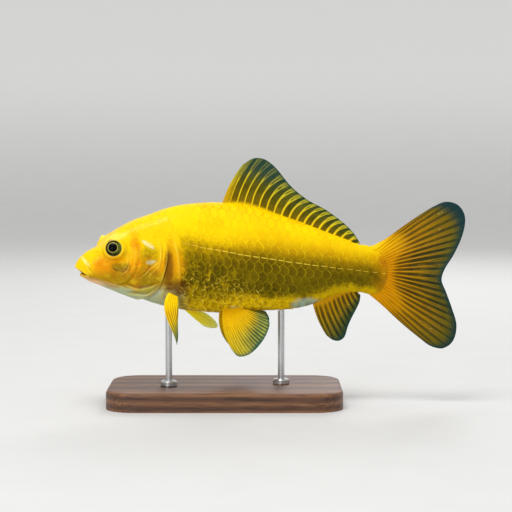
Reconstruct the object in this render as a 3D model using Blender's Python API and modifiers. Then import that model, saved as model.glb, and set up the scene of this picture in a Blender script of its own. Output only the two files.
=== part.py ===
"""A goldfish at life size, 186 mm along its body and tail, held over a plain base by two rods.

Metres, +Z up. The head points towards -X and the fish's left side towards -Y. The origin is the centre
of the base's underside. Sizes are in millimetres: s runs back from the tip of the snout, h is the height
over the body's axis, and w is the distance from the midplane, positive on the fish's right. The fish is
built straight, cut into its parts, and then bent sideways along its spine.
"""

import math

import bmesh
import bpy
from mathutils import Vector

MM = 0.001
GAP = 0.3  # between neighbouring pieces

# Driving dimensions of the body
BODY_LENGTH = 152.5  # snout to the root of the tail fin
AXIS_HEIGHT = 68.0  # body axis over the floor
BASE_S = 72.0  # the part of the body over the middle of the base
RINGS = 42  # cross-sections along the body
SEGMENTS = 30  # points round each cross-section
SNOUT_CROWDING = 1.35  # above 1 sets the cross-sections closer together at the snout

# s, top, bottom, half width, height of the widest point
STATIONS = (
    (0.0, -0.2, -3.9, 1.9, -2.0),  # lips
    (2.4, 3.8, -6.0, 4.3, -1.8),
    (6.0, 6.7, -7.7, 5.9, -1.2),
    (10.4, 8.7, -9.6, 7.4, -0.4),  # nostrils
    (13.6, 11.6, -11.1, 8.2, 0.2),
    (17.2, 14.8, -12.5, 9.0, 0.4),  # eyes
    (22.0, 17.8, -14.2, 10.5, 0.6),
    (28.0, 20.7, -16.1, 11.7, 0.6),
    (36.0, 23.5, -18.7, 12.9, 0.4),  # gill covers
    (46.0, 26.8, -21.4, 13.7, 0.5),
    (57.0, 28.4, -23.4, 14.3, 1.0),
    (70.0, 28.8, -24.4, 14.0, 2.0),  # front of the dorsal and pelvic fins
    (85.0, 27.2, -23.7, 12.7, 2.0),
    (98.0, 22.9, -23.2, 11.0, 1.0),
    (109.0, 19.2, -22.0, 9.2, 0.0),
    (119.0, 15.4, -18.5, 7.3, -0.5),  # front of the anal fin
    (127.0, 12.4, -15.6, 5.8, -1.0),
    (136.0, 8.9, -14.6, 4.4, -2.0),  # thinnest part of the tail stalk
    (143.0, 8.0, -16.2, 3.3, -3.5),
    (152.5, 8.0, -19.0, 1.3, -5.0),  # root of the tail fin
)
# s, exponent of the superellipse: 2 is an ellipse, and more is fuller
FULLNESS_ABOVE = ((0.0, 2.1), (7.0, 2.4), (15.0, 3.3), (24.0, 2.8), (36.0, 2.3), (60.0, 1.95), (152.5, 1.9))
FULLNESS_BELOW = ((0.0, 2.1), (25.0, 1.95), (70.0, 2.2), (115.0, 2.0), (152.5, 1.9))

# The spine, from above: the head is turned to the fish's left, and the tail swings a little to the left
HEAD_TURN = math.radians(16.0)
TAIL_TURN = math.radians(-7.0)
NECK_S = 46.0  # the head is rigid ahead of this
STRAIGHT_S = 92.0  # the trunk runs along X here
TAIL_END_S = 190.0

# Eyes
EYE_S = 16.3
EYE_H = 7.9
EYE_W = 8.9  # centre of the ball from the midplane
EYE_RADIUS = 4.2
EYE_DEPTH = 3.2  # from the ball's centre to the front of the eye
EYE_AXIS = (-0.25, 0.95, 0.18)  # the right eye looks this way
LID_RADIUS = 5.0  # of the raised ring of skin round the eye
LID_DEPTH = 3.3
LID_SINK = 1.2  # from the eye's centre inwards
ORBIT_RADIUS = 8.8  # of the swelling round the eye, whose middle is ahead of and above the eye
ORBIT_RISE = 2.2
ORBIT_S = 15.4
ORBIT_H = 9.0

# Stand
BASE_LENGTH = 112.0
BASE_WIDTH = 64.0
BASE_THICKNESS = 9.0
BASE_CORNER = 14.0
BASE_EDGE = 1.5
ROD_RADIUS = 1.6
ROD_FOOT_RADIUS = 4.0
ROD_FOOT_HEIGHT = 2.4
ROD_STATIONS = {"front": 44.5, "rear": 99.0}


# ---------------------------------------------------------------- curves


def smooth(rows, x, column=1):
    """Reads a column of rows at x along a smooth curve through them."""
    last = len(rows) - 1
    if x <= rows[0][0]:
        return rows[0][column]
    if x >= rows[last][0]:
        return rows[last][column]
    i = next(k for k in range(last) if x <= rows[k + 1][0])
    span = rows[i + 1][0] - rows[i][0]
    t = (x - rows[i][0]) / span

    def slope(k):
        before, after = max(k - 1, 0), min(k + 1, last)
        return (rows[after][column] - rows[before][column]) / (rows[after][0] - rows[before][0])

    rise = rows[i + 1][column] - rows[i][column]
    a, b = slope(i) * span, slope(i + 1) * span
    return rows[i][column] + a * t + (3 * rise - 2 * a - b) * t**2 + (a + b - 2 * rise) * t**3


def along(points, t):
    """The point at the share t of the way along a smooth curve through points."""
    points = [Vector(p) for p in points]
    at = [0.0]
    for p, q in zip(points, points[1:]):
        at.append(at[-1] + (q - p).length)
    x = t * at[-1]
    rows = [(a, *p) for a, p in zip(at, points)]
    return Vector([smooth(rows, x, k + 1) for k in range(len(points[0]))])


def ease(x):
    """0 below 0, 1 above 1, and a smooth step between."""
    x = min(max(x, 0.0), 1.0)
    return x * x * (3 - 2 * x)


def mix(a, b, t):
    return a + (b - a) * t


# ---------------------------------------------------------------- the bend


def turn(s):
    """How far the spine is turned at s, seen from above."""
    head = HEAD_TURN * (1 - ease((s - NECK_S) / (STRAIGHT_S - NECK_S)))
    tail = TAIL_TURN * ease((s - STRAIGHT_S) / (TAIL_END_S - STRAIGHT_S))
    return head + tail


def spine(s, steps=24):
    """The spine's place from above, reached from its straight stretch by way of the turns between."""
    stride = (s - STRAIGHT_S) / steps
    turns = [turn(STRAIGHT_S + (k + 0.5) * stride) for k in range(steps)]
    x = sum(math.cos(a) for a in turns) * stride
    return x + STRAIGHT_S - BASE_S, sum(math.sin(a) for a in turns) * stride


def bent(p):
    """A point (s, w, h) of the straight fish in its place on the stand, in metres."""
    s, w, h = p
    angle = turn(s)
    x, y = spine(s)
    return Vector((x - w * math.sin(angle), y + w * math.cos(angle), h + AXIS_HEIGHT)) * MM


# ---------------------------------------------------------------- meshes


def new_object(name, mesh, collection):
    obj = bpy.data.objects.new(name, mesh)
    collection.objects.link(obj)
    return obj


def object_from(bm, name, collection):
    """An object with the bmesh, which is used up, with its faces pointing out."""
    bmesh.ops.recalc_face_normals(bm, faces=bm.faces)
    if bm.calc_volume(signed=True) < 0:
        bmesh.ops.reverse_faces(bm, faces=bm.faces)
    mesh = bpy.data.meshes.new(name)
    bm.to_mesh(mesh)
    bm.free()
    return new_object(name, mesh, collection)


def helper(obj):
    """Marks a cutter or a guide, which isn't a part."""
    obj.hide_render = True
    obj.display_type = "WIRE"
    return obj


def boolean(obj, operation, cutter):
    modifier = obj.modifiers.new(operation.title(), "BOOLEAN")
    modifier.operation = operation
    modifier.object = cutter


def prism(name, outline, w_low, w_high, collection):
    """A closed outline in (s, h), from w_low to w_high."""
    bm = bmesh.new()
    face = bm.faces.new([bm.verts.new((s, w_low, h)) for s, h in outline])
    made = bmesh.ops.extrude_face_region(bm, geom=[face])["geom"]
    moved = [v for v in made if isinstance(v, bmesh.types.BMVert)]
    bmesh.ops.translate(bm, verts=moved, vec=(0, w_high - w_low, 0))
    return helper(object_from(bm, name, collection))


def grown(outline, by):
    """The closed outline moved outwards by a distance."""
    area = sum(p[0] * q[1] - q[0] * p[1] for p, q in zip(outline, outline[1:] + outline[:1]))
    side = 1 if area > 0 else -1
    moved = []
    for k, p in enumerate(outline):
        before = Vector(p) - Vector(outline[k - 1])
        after = Vector(outline[(k + 1) % len(outline)]) - Vector(p)
        normals = [Vector((d.y, -d.x)).normalized() * side for d in (before, after)]
        middle = (normals[0] + normals[1]).normalized()
        moved.append(Vector(p) + middle * by / max(middle.dot(normals[0]), 0.5))
    return [tuple(p) for p in moved]


def rounded(outline, count):
    """count points along a smooth closed curve through the outline's points."""
    closed = list(outline) + [outline[0]]
    return [tuple(along(closed, k / count)) for k in range(count)]


# ---------------------------------------------------------------- the body


def orbit_bulge(s, h):
    """How far the rim of the eye socket stands out of the side of the head."""
    distance = math.hypot(s - ORBIT_S, h - ORBIT_H) / ORBIT_RADIUS
    return ORBIT_RISE * (1 - ease(distance))


def body_point(s, angle, grow=0.0):
    """The skin at s; the angle runs from 0 on the back, over the right side, to pi on the belly."""
    top = smooth(STATIONS, s, 1) + grow
    bottom = smooth(STATIONS, s, 2) - grow
    half = smooth(STATIONS, s, 3) + grow
    widest = smooth(STATIONS, s, 4)
    up = math.cos(angle)
    fullness = smooth(FULLNESS_ABOVE if up > 0 else FULLNESS_BELOW, s)
    reach = top - widest if up > 0 else widest - bottom
    h = widest + math.copysign(reach * abs(up) ** (2 / fullness), up)
    out = half * abs(math.sin(angle)) ** (2 / fullness)
    bulge = orbit_bulge(s, h) * ease(1.4 * out / half - 0.2)
    rise = 0.9 * bulge * ease((h - EYE_H) / 4)
    return Vector((s, math.copysign(out + 0.8 * bulge, math.sin(angle)), h + rise))


def body_tube(name, collection, grow=0.0, rings=RINGS, segments=SEGMENTS):
    """The whole body as one closed tube: a subdivided cylinder whose points are put on the skin."""
    bm = bmesh.new()
    bmesh.ops.create_cone(bm, cap_ends=True, segments=segments, radius1=1, radius2=1, depth=1)
    lengthwise = [e for e in bm.edges if abs(e.verts[0].co.z - e.verts[1].co.z) > 0.5]
    bmesh.ops.subdivide_edges(bm, edges=lengthwise, cuts=rings - 2, use_grid_fill=True)
    for v in bm.verts:
        share = min(max(v.co.z + 0.5, 0.0), 1.0)
        s = BODY_LENGTH * share**SNOUT_CROWDING
        end = grow if share > 0.999 else -grow if share < 0.001 else 0.0
        v.co = body_point(s, math.atan2(v.co.y, v.co.x), grow) + Vector((end, 0, 0))
    return object_from(bm, name, collection)


# ---------------------------------------------------------------- cuts through the body

FAR = 40.0  # past the body on either side
# Closed outlines in (s, h)
GILL_COVER = (
    (30.0, 16.8), (27.0, 9.2), (25.7, 0.0), (26.6, -9.0), (30.6, -15.2), (35.6, -14.2),
    (38.6, -8.5), (40.2, -2.0), (41.0, 4.0), (40.0, 10.8), (37.0, 15.8), (33.5, 18.3),
)
GILL_COVER_DEPTH = 3.6  # from the widest point of the head inwards
HEAD_FACE = (
    (-10.0, FAR), (39.2, FAR), (39.8, 20.0), (41.6, 12.0), (42.2, 4.0), (41.4, -3.0), (39.6, -10.0),
    (36.2, -17.0), (32.0, -FAR), (-10.0, -FAR),
)
UPPER_LIP = (
    (-6.0, 8.0), (2.2, 6.5), (3.4, 3.6), (4.0, 0.8), (5.0, -1.4), (6.4, -3.4), (7.2, -5.0),
    (6.2, -6.2), (4.6, -5.9), (3.0, -4.4), (1.0, -2.8), (-1.0, -1.8), (-6.0, -1.6),
)
MOUTH = (
    (-6.0, -1.6), (-1.0, -1.8), (1.0, -2.8), (3.0, -4.4), (3.7, -5.0), (2.4, -5.1), (1.6, -5.7),
    (1.4, -6.6), (-6.0, -9.0),
)
LOWER_JAW = (
    (3.4, -5.0), (4.6, -5.9), (6.2, -6.2), (7.6, -5.6), (11.0, -7.6), (12.0, -FAR), (-6.0, -FAR),
    (-6.0, -5.0),
)
STALK_FACE = ((113.0, FAR), (113.0, -FAR), (200.0, -FAR), (200.0, FAR))  # behind the vent
SIDES = ((-1, "left"), (1, "right"))


def across(name, outline, cutters, grow=0.0):
    """A cutter right through the body from side to side."""
    return prism(name, grown(list(outline), grow) if grow else outline, -FAR, FAR, cutters)


def over_cheek(name, side, cutters, grow=0.0):
    """A cutter over one gill cover, as deep as the cover is thick."""
    outline = rounded(GILL_COVER, 26)
    inner = smooth(STATIONS, 35.0, 3) - GILL_COVER_DEPTH - grow
    low, high = sorted((side * inner, side * FAR))
    return prism(name, grown(outline, grow) if grow else outline, low, high, cutters)


def make_head(parts, cutters):
    """The head ahead of the gill openings, hollowed for the eyes, the gill covers and the jaws."""
    head = body_tube("head", parts)
    for side, name in SIDES:
        lid = eye_ball(f"lid_{name}", side, cutters, LID_RADIUS, LID_DEPTH, LID_SINK)
        boolean(head, "UNION", helper(lid))
    boolean(head, "DIFFERENCE", across("lip_gap", UPPER_LIP, cutters, GAP))
    boolean(head, "DIFFERENCE", across("mouth", MOUTH, cutters))
    boolean(head, "DIFFERENCE", across("jaw_gap", LOWER_JAW, cutters, GAP))
    boolean(head, "INTERSECT", across("head_block", HEAD_FACE, cutters))
    for side, name in SIDES:
        boolean(head, "DIFFERENCE", over_cheek(f"cheek_{name}", side, cutters, GAP))
        socket = eye_ball(f"socket_{name}", side, cutters, EYE_RADIUS + GAP, EYE_DEPTH + GAP)
        boolean(head, "DIFFERENCE", helper(socket))


def make_gill_cover(side, name, parts, cutters):
    cover = body_tube(f"gill_cover_{name}", parts)
    boolean(cover, "INTERSECT", over_cheek(f"cover_block_{name}", side, cutters))


def make_upper_lip(parts, cutters):
    lip = body_tube("upper_lip", parts)
    boolean(lip, "INTERSECT", across("lip_block", UPPER_LIP, cutters))


def make_lower_jaw(parts, cutters):
    jaw = body_tube("lower_jaw", parts)
    boolean(jaw, "INTERSECT", across("jaw_block", LOWER_JAW, cutters))
    boolean(jaw, "DIFFERENCE", cutters.objects["mouth"])
    boolean(jaw, "DIFFERENCE", cutters.objects["lip_gap"])


def make_trunk(parts, cutters):
    trunk = body_tube("trunk", parts)
    boolean(trunk, "DIFFERENCE", across("head_gap", HEAD_FACE, cutters, GAP))
    boolean(trunk, "DIFFERENCE", across("stalk_gap", STALK_FACE, cutters, GAP))


def make_tail_stalk(parts, cutters):
    stalk = body_tube("tail_stalk", parts)
    boolean(stalk, "INTERSECT", across("stalk_block", STALK_FACE, cutters))


def eye_ball(name, side, collection, radius=EYE_RADIUS, depth=EYE_DEPTH, sink=0.0):
    """A slightly flattened ball, set in the side of the head."""
    bm = bmesh.new()
    bmesh.ops.create_uvsphere(bm, u_segments=20, v_segments=10, radius=1)
    bmesh.ops.scale(bm, verts=bm.verts, vec=(radius, radius, depth))
    look = Vector((EYE_AXIS[0], side * EYE_AXIS[1], EYE_AXIS[2]))
    bmesh.ops.rotate(bm, verts=bm.verts, matrix=look.to_track_quat("Z", "Y").to_matrix())
    bmesh.ops.translate(bm, verts=bm.verts, vec=(EYE_S, side * (EYE_W - sink), EYE_H))
    return object_from(bm, name, collection)


# ---------------------------------------------------------------- fins


def fin_blade(name, collection, point, rays, steps, thick_root, thick_edge, membrane=0.62):
    """A fin as a thin solid. point(u, v) gives (s, w, h): u runs over the rays and v from root to margin.

    Every other line of points is a ray, and the membrane between the rays is thinner.
    """
    columns = 2 * rays - 2
    bm = bmesh.new()
    bmesh.ops.create_grid(bm, x_segments=columns, y_segments=steps, size=0.5)
    bm.verts.ensure_lookup_table()
    places = [(v.co.x + 0.5, v.co.y + 0.5) for v in bm.verts]
    for v, (u, root_to_edge) in zip(bm.verts, places):
        v.co = point(u, root_to_edge)
    mesh = bpy.data.meshes.new(name)
    bm.to_mesh(mesh)
    bm.free()
    fin = new_object(name, mesh, collection)
    group = fin.vertex_groups.new(name="thickness")
    for index, (u, root_to_edge) in enumerate(places):
        on_ray = round(u * columns) % 2 == 0
        thick = mix(thick_root, thick_edge, root_to_edge) * (1.0 if on_ray else membrane)
        group.add([index], max(thick, thick_edge) / thick_root, "REPLACE")
    solidify = fin.modifiers.new("Solidify", "SOLIDIFY")
    solidify.thickness = thick_root
    solidify.offset = 0
    solidify.vertex_group = group.name
    return fin


def on_back(s, sink):
    return Vector((s, smooth(STATIONS, s, 1) - sink))


def on_belly(s, sink):
    return Vector((s, smooth(STATIONS, s, 2) + sink))


def bowed(root, tip, v, bow):
    """A point on a ray from root to tip that bows to one side by a share of its length."""
    reach = tip - root
    side = Vector((reach.y, -reach.x))
    return root + reach * v + side * bow * 4 * v * (1 - v)


DORSAL_S = (70.4, 134.5)
DORSAL_MARGIN = (
    (80.6, 46.8), (85.9, 49.7), (91.0, 49.2), (96.1, 45.4), (103.5, 36.5), (111.3, 30.1),
    (120.5, 25.0), (129.9, 17.9), (134.2, 13.2), (136.8, 8.9),
)


def dorsal_point(u, v):
    root = on_back(mix(*DORSAL_S, u), 1.5)
    p = bowed(root, along(DORSAL_MARGIN, u), v, mix(-0.05, -0.08, u))
    wave = 1.1 * math.sin(2.2 * math.pi * u + 0.6) * v * v
    return Vector((p.x, wave, p.y))


TAIL_ROOT = ((143.5, 6.6), (148.0, 2.4), (149.8, -5.0), (148.0, -12.0), (143.5, -16.4))
TAIL_MARGIN = (
    (171.0, 26.4), (177.5, 29.0), (183.4, 27.4), (186.6, 22.0), (185.6, 13.7), (181.6, 4.3), (177.2, -3.0),
    (175.8, -8.2), (177.8, -13.6), (180.7, -21.5), (183.0, -30.0), (181.4, -37.6), (176.6, -41.3),
    (171.0, -40.4), (166.0, -37.0),
)


def tail_point(u, v):
    root = along(TAIL_ROOT, u)
    p = bowed(root, along(TAIL_MARGIN, u), v, mix(-0.02, 0.02, u))
    cup = 2.0 * math.cos(2 * math.pi * u) * v * v
    return Vector((p.x, cup, p.y))


ANAL_S = (113.9, 135.0)
ANAL_MARGIN = (
    (120.8, -35.4), (123.8, -37.6), (126.9, -38.0), (129.4, -36.2), (131.2, -30.8), (133.0, -26.7),
    (134.9, -23.0), (136.6, -19.2), (137.1, -15.9),
)


def anal_point(u, v):
    root = on_belly(mix(*ANAL_S, u), 1.6)
    p = bowed(root, along(ANAL_MARGIN, u), v, 0.05)
    return Vector((p.x, 0.8 * math.sin(3 * u) * v * v, p.y))


PELVIC_S = (70.4, 78.5)
PELVIC_W = 5.5  # roots from the midplane
PELVIC_SPLAY = 0.42  # outwards for each unit down
PELVIC_MARGIN = (
    (74.4, -41.0), (76.9, -43.4), (79.9, -43.7), (83.5, -42.6), (87.0, -40.0), (90.4, -36.0),
    (92.6, -31.8), (93.3, -28.2), (91.6, -24.6),
)


def pelvic_point(side):
    def point(u, v):
        s = mix(*PELVIC_S, u)
        root = on_belly(s, 2.6)
        p = bowed(root, along(PELVIC_MARGIN, u), v, mix(0.11, 0.0, u))
        out = PELVIC_W + PELVIC_SPLAY * (root.y - p.y) + 1.6 * u * v
        return Vector((p.x, side * out, p.y))

    return point


# Three rays of each chest fin, leading, middle and trailing: root and tip as (s, w, h)
PECTORAL_LEFT = (
    ((41.8, -11.6, -13.2), (42.0, -27.0, -36.0)),
    ((43.9, -11.4, -14.4), (43.5, -23.2, -33.2)),
    ((46.2, -11.0, -15.6), (44.5, -18.6, -29.4)),
)
PECTORAL_RIGHT = (
    ((42.4, 11.4, -13.2), (67.8, 21.5, -36.0)),
    ((43.8, 11.4, -15.0), (70.5, 19.6, -33.3)),
    ((45.2, 11.0, -16.6), (67.5, 16.5, -27.0)),
)


def pectoral_point(rays, lead_bow, trail_bow):
    def point(u, v):
        root = along([r[0] for r in rays], u)
        tip = along([r[1] for r in rays], u)
        p = root + (tip - root) * v
        return p + Vector(lead_bow).lerp(Vector(trail_bow), u) * 6.75 * v * (1 - v) ** 2

    return point


def make_fins(parts, skin):
    """Each fin with its number of rays, its steps from root to margin and its thickness at the two."""
    left = pectoral_point(PECTORAL_LEFT, (-3.2, 0.0, 0.0), (0.4, 0.0, 0.0))
    right = pectoral_point(PECTORAL_RIGHT, (0.0, 1.5, 1.2), (0.0, 1.5, -1.0))
    fins = (
        fin_blade("dorsal_fin", parts, dorsal_point, 17, 4, 1.4, 0.5),
        fin_blade("tail_fin", parts, tail_point, 19, 5, 2.0, 0.5),
        fin_blade("anal_fin", parts, anal_point, 8, 4, 1.3, 0.5),
        fin_blade("pelvic_fin_left", parts, pelvic_point(-1), 8, 4, 1.2, 0.5),
        fin_blade("pelvic_fin_right", parts, pelvic_point(1), 8, 4, 1.2, 0.5),
        fin_blade("pectoral_fin_left", parts, left, 9, 4, 1.2, 0.5),
        fin_blade("pectoral_fin_right", parts, right, 9, 4, 1.2, 0.5),
    )
    for fin in fins:
        boolean(fin, "DIFFERENCE", skin)


# ---------------------------------------------------------------- the stand


def stand_base(parts):
    """A flat block with round corners and an eased edge."""
    bm = bmesh.new()
    bmesh.ops.create_cube(bm, size=1)
    bmesh.ops.scale(bm, verts=bm.verts, vec=(BASE_LENGTH, BASE_WIDTH, BASE_THICKNESS))
    bmesh.ops.translate(bm, verts=bm.verts, vec=(0, 0, BASE_THICKNESS / 2))
    upright = [e for e in bm.edges if abs(e.verts[0].co.z - e.verts[1].co.z) > 1]
    bmesh.ops.bevel(bm, geom=upright, offset=BASE_CORNER, segments=8, profile=0.5, affect="EDGES")
    upper = [e for e in bm.edges if all(v.co.z > BASE_THICKNESS - 0.01 for v in e.verts)]
    bmesh.ops.bevel(bm, geom=upper, offset=BASE_EDGE, segments=2, profile=0.5, affect="EDGES")
    bmesh.ops.scale(bm, verts=bm.verts, vec=(MM, MM, MM))
    return object_from(bm, "stand_base", parts)


def stand_rod(name, s, parts, skin):
    """A round rod with a low foot, from the base up to the belly, where the skin cuts it."""
    foot = BASE_THICKNESS + GAP
    belly = AXIS_HEIGHT + smooth(STATIONS, s, 2)
    profile = (
        (0.0, belly + 4), (ROD_RADIUS, belly + 4), (ROD_RADIUS, foot + ROD_FOOT_HEIGHT),
        (ROD_FOOT_RADIUS - 0.6, foot + ROD_FOOT_HEIGHT), (ROD_FOOT_RADIUS, foot + ROD_FOOT_HEIGHT - 0.6),
        (ROD_FOOT_RADIUS, foot), (0.0, foot),
    )
    bm = bmesh.new()
    verts = [bm.verts.new((r * MM, 0, z * MM)) for r, z in profile]
    for a, b in zip(verts, verts[1:]):
        bm.edges.new((a, b))
    bmesh.ops.spin(
        bm, geom=bm.verts[:] + bm.edges[:], cent=(0, 0, 0), axis=(0, 0, 1), angle=2 * math.pi, steps=20,
        use_merge=True,
    )
    bmesh.ops.remove_doubles(bm, verts=bm.verts, dist=0.00001)
    place = bent((s, 0, 0))
    bmesh.ops.translate(bm, verts=bm.verts, vec=(place.x, place.y, 0))
    rod = object_from(bm, name, parts)
    boolean(rod, "DIFFERENCE", skin)
    return rod


# ---------------------------------------------------------------- assembly


def bend_and_place(obj):
    """Applies the object's modifiers, bends it along the spine and puts it at its height."""
    graph = bpy.context.evaluated_depsgraph_get()
    mesh = bpy.data.meshes.new_from_object(obj.evaluated_get(graph))
    bm = bmesh.new()
    bm.from_mesh(mesh)
    bmesh.ops.triangulate(bm, faces=bm.faces)
    for v in bm.verts:
        v.co = bent(v.co)
    bm.to_mesh(mesh)
    bm.free()
    obj.modifiers.clear()
    obj.vertex_groups.clear()
    obj.data = mesh


def finish(name, colour, roughness, metallic=0.0):
    material = bpy.data.materials.new(name)
    material.use_nodes = True
    shader = material.node_tree.nodes["Principled BSDF"]
    shader.inputs["Base Color"].default_value = (*colour, 1)
    shader.inputs["Roughness"].default_value = roughness
    shader.inputs["Metallic"].default_value = metallic
    return material


def main():
    for obj in list(bpy.data.objects):
        bpy.data.objects.remove(obj)
    parts = bpy.data.collections.new("goldfish")
    cutters = bpy.data.collections.new("cutters")
    bpy.context.scene.collection.children.link(parts)
    bpy.context.scene.collection.children.link(cutters)

    skin = helper(body_tube("grown_body", cutters, GAP))
    make_head(parts, cutters)
    make_upper_lip(parts, cutters)
    make_lower_jaw(parts, cutters)
    make_trunk(parts, cutters)
    make_tail_stalk(parts, cutters)
    for side, name in SIDES:
        make_gill_cover(side, name, parts, cutters)
        eye_ball(f"eye_{name}", side, parts)
    make_fins(parts, skin)
    bpy.context.view_layer.update()
    for obj in parts.objects:
        bend_and_place(obj)
    bend_and_place(skin)

    stand_base(parts)
    for name, s in ROD_STATIONS.items():
        stand_rod(f"stand_rod_{name}", s, parts, skin)

    body = finish("golden skin", (0.85, 0.62, 0.02), 0.35)
    fin = finish("fin rays", (0.75, 0.50, 0.04), 0.4)
    eye = finish("eye", (0.03, 0.03, 0.02), 0.1)
    wood = finish("dark wood", (0.06, 0.035, 0.02), 0.5)
    steel = finish("steel", (0.6, 0.6, 0.6), 0.3, 1.0)
    for obj in parts.objects:
        kind = obj.name
        material = (
            wood if kind == "stand_base" else steel if kind.startswith("stand_")
            else eye if kind.startswith("eye_") else fin if "_fin" in kind else body
        )
        obj.data.materials.clear()
        obj.data.materials.append(material)
        obj.data.shade_smooth()
        obj.data.set_sharp_from_angle(angle=math.radians(35))


main()
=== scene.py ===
import math

import bmesh
import bpy
import numpy as np
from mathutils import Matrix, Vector


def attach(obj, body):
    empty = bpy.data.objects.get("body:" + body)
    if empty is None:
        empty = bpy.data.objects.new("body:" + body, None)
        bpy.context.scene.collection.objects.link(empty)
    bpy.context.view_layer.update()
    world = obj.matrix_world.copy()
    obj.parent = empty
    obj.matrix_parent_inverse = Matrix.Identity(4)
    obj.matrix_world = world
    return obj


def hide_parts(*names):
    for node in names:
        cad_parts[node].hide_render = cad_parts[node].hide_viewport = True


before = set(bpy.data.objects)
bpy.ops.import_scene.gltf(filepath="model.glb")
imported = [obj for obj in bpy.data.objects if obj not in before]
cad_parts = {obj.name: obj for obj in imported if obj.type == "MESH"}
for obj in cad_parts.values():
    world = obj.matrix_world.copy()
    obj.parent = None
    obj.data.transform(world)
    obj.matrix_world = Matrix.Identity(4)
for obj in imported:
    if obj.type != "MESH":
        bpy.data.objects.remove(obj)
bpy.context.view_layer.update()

# ------------------------------------------------------------------ the skin
# One skin from the lips to the root of the tail fin, as on the living fish: soft and wet on the head, and
# thin under the scales behind it. It is drawn as a tube round a straight fish, measured in millimetres as
# s back from the snout, w out from the middle and h over the body's axis, then bent to the fish's pose.
MM = 0.001
BODY_LENGTH = 152.5
AXIS_HEIGHT = 68.0
BASE_S = 72.0
STATIONS = (  # s, top, bottom, half width, height of the widest point
    (0.0, -0.2, -3.9, 1.9, -2.0), (2.4, 3.8, -6.0, 4.3, -1.8), (6.0, 6.7, -7.7, 5.9, -1.2),
    (10.4, 8.7, -9.6, 7.4, -0.4), (13.6, 11.6, -11.1, 8.2, 0.2), (17.2, 14.8, -12.5, 9.0, 0.4),
    (22.0, 17.8, -14.2, 10.5, 0.6), (28.0, 20.7, -16.1, 11.7, 0.6), (36.0, 23.5, -18.7, 12.9, 0.4),
    (46.0, 26.8, -21.4, 13.7, 0.5), (57.0, 28.4, -23.4, 14.3, 1.0), (70.0, 28.8, -24.4, 14.0, 2.0),
    (85.0, 27.2, -23.7, 12.7, 2.0), (98.0, 22.9, -23.2, 11.0, 1.0), (109.0, 19.2, -22.0, 9.2, 0.0),
    (119.0, 15.4, -18.5, 7.3, -0.5), (127.0, 12.4, -15.6, 5.8, -1.0), (136.0, 8.9, -14.6, 4.4, -2.0),
    (143.0, 8.0, -16.2, 3.3, -3.5), (152.5, 8.0, -19.0, 1.3, -5.0),
)
FULLNESS_ABOVE = ((0.0, 2.1), (7.0, 2.4), (15.0, 3.3), (24.0, 2.8), (36.0, 2.3), (60.0, 1.95), (152.5, 1.9))
FULLNESS_BELOW = ((0.0, 2.1), (25.0, 1.95), (70.0, 2.2), (115.0, 2.0), (152.5, 1.9))
HEAD_TURN = math.radians(16.0)
TAIL_TURN = math.radians(-7.0)
NECK_S = 46.0
STRAIGHT_S = 92.0
TAIL_END_S = 190.0
ORBIT_RADIUS = 8.8
ORBIT_RISE = 2.2
ORBIT_S = 15.4
ORBIT_H = 9.0
EYE_S = 16.3
EYE_H = 7.9
EYE_W = 8.9
EYE_AXIS = (-0.25, 0.95, 0.18)  # the right eye looks this way, as s, w and h


def smooth(rows, x, column=1):
    """A column of rows read at x along a smooth curve through them."""
    rows = np.asarray(rows, float)
    at, value = rows[:, 0], rows[:, column]
    slope = np.empty(len(at))
    slope[1:-1] = (value[2:] - value[:-2]) / (at[2:] - at[:-2])
    slope[0] = (value[1] - value[0]) / (at[1] - at[0])
    slope[-1] = (value[-1] - value[-2]) / (at[-1] - at[-2])
    x = np.clip(x, at[0], at[-1])
    k = np.clip(np.searchsorted(at, x, side="right") - 1, 0, len(at) - 2)
    span = at[k + 1] - at[k]
    t = (x - at[k]) / span
    rise = value[k + 1] - value[k]
    a, b = slope[k] * span, slope[k + 1] * span
    return value[k] + a * t + (3 * rise - 2 * a - b) * t**2 + (a + b - 2 * rise) * t**3


def along(points, t):
    """The points at the shares t of the way along a smooth curve."""
    points = np.asarray(points, float)
    at = np.concatenate([[0.0], np.cumsum(np.linalg.norm(np.diff(points, axis=0), axis=1))])
    rows = np.column_stack([at, points])
    x = np.asarray(t, float) * at[-1]
    return np.stack([smooth(rows, x, k + 1) for k in range(points.shape[1])], -1)


def ease(x):
    x = np.clip(x, 0.0, 1.0)
    return x * x * (3 - 2 * x)


def hump(x):
    """1 at 0, falling smoothly to 0 at -1 and at 1."""
    return ease(1 - np.abs(x))


def mix(a, b, t):
    return a + (b - a) * t


def turn(s):
    head = HEAD_TURN * (1 - ease((s - NECK_S) / (STRAIGHT_S - NECK_S)))
    tail = TAIL_TURN * ease((s - STRAIGHT_S) / (TAIL_END_S - STRAIGHT_S))
    return head + tail


SPINE_STEP = 0.1
SPINE_S = np.arange(-20.0, 200.0, SPINE_STEP)
spine_turns = turn(SPINE_S + SPINE_STEP / 2)
SPINE_X = np.cumsum(np.cos(spine_turns)) * SPINE_STEP
SPINE_Y = np.cumsum(np.sin(spine_turns)) * SPINE_STEP
SPINE_X += STRAIGHT_S - BASE_S - np.interp(STRAIGHT_S, SPINE_S, SPINE_X)
SPINE_Y -= np.interp(STRAIGHT_S, SPINE_S, SPINE_Y)


def bent(points):
    """Points (s, w, h) of the straight fish in their places on the stand, in metres."""
    s, w, h = np.asarray(points, float).T
    angle = turn(s)
    x = np.interp(s, SPINE_S, SPINE_X) - w * np.sin(angle)
    y = np.interp(s, SPINE_S, SPINE_Y) + w * np.cos(angle)
    return np.column_stack([x, y, h + AXIS_HEIGHT]) * MM


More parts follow.
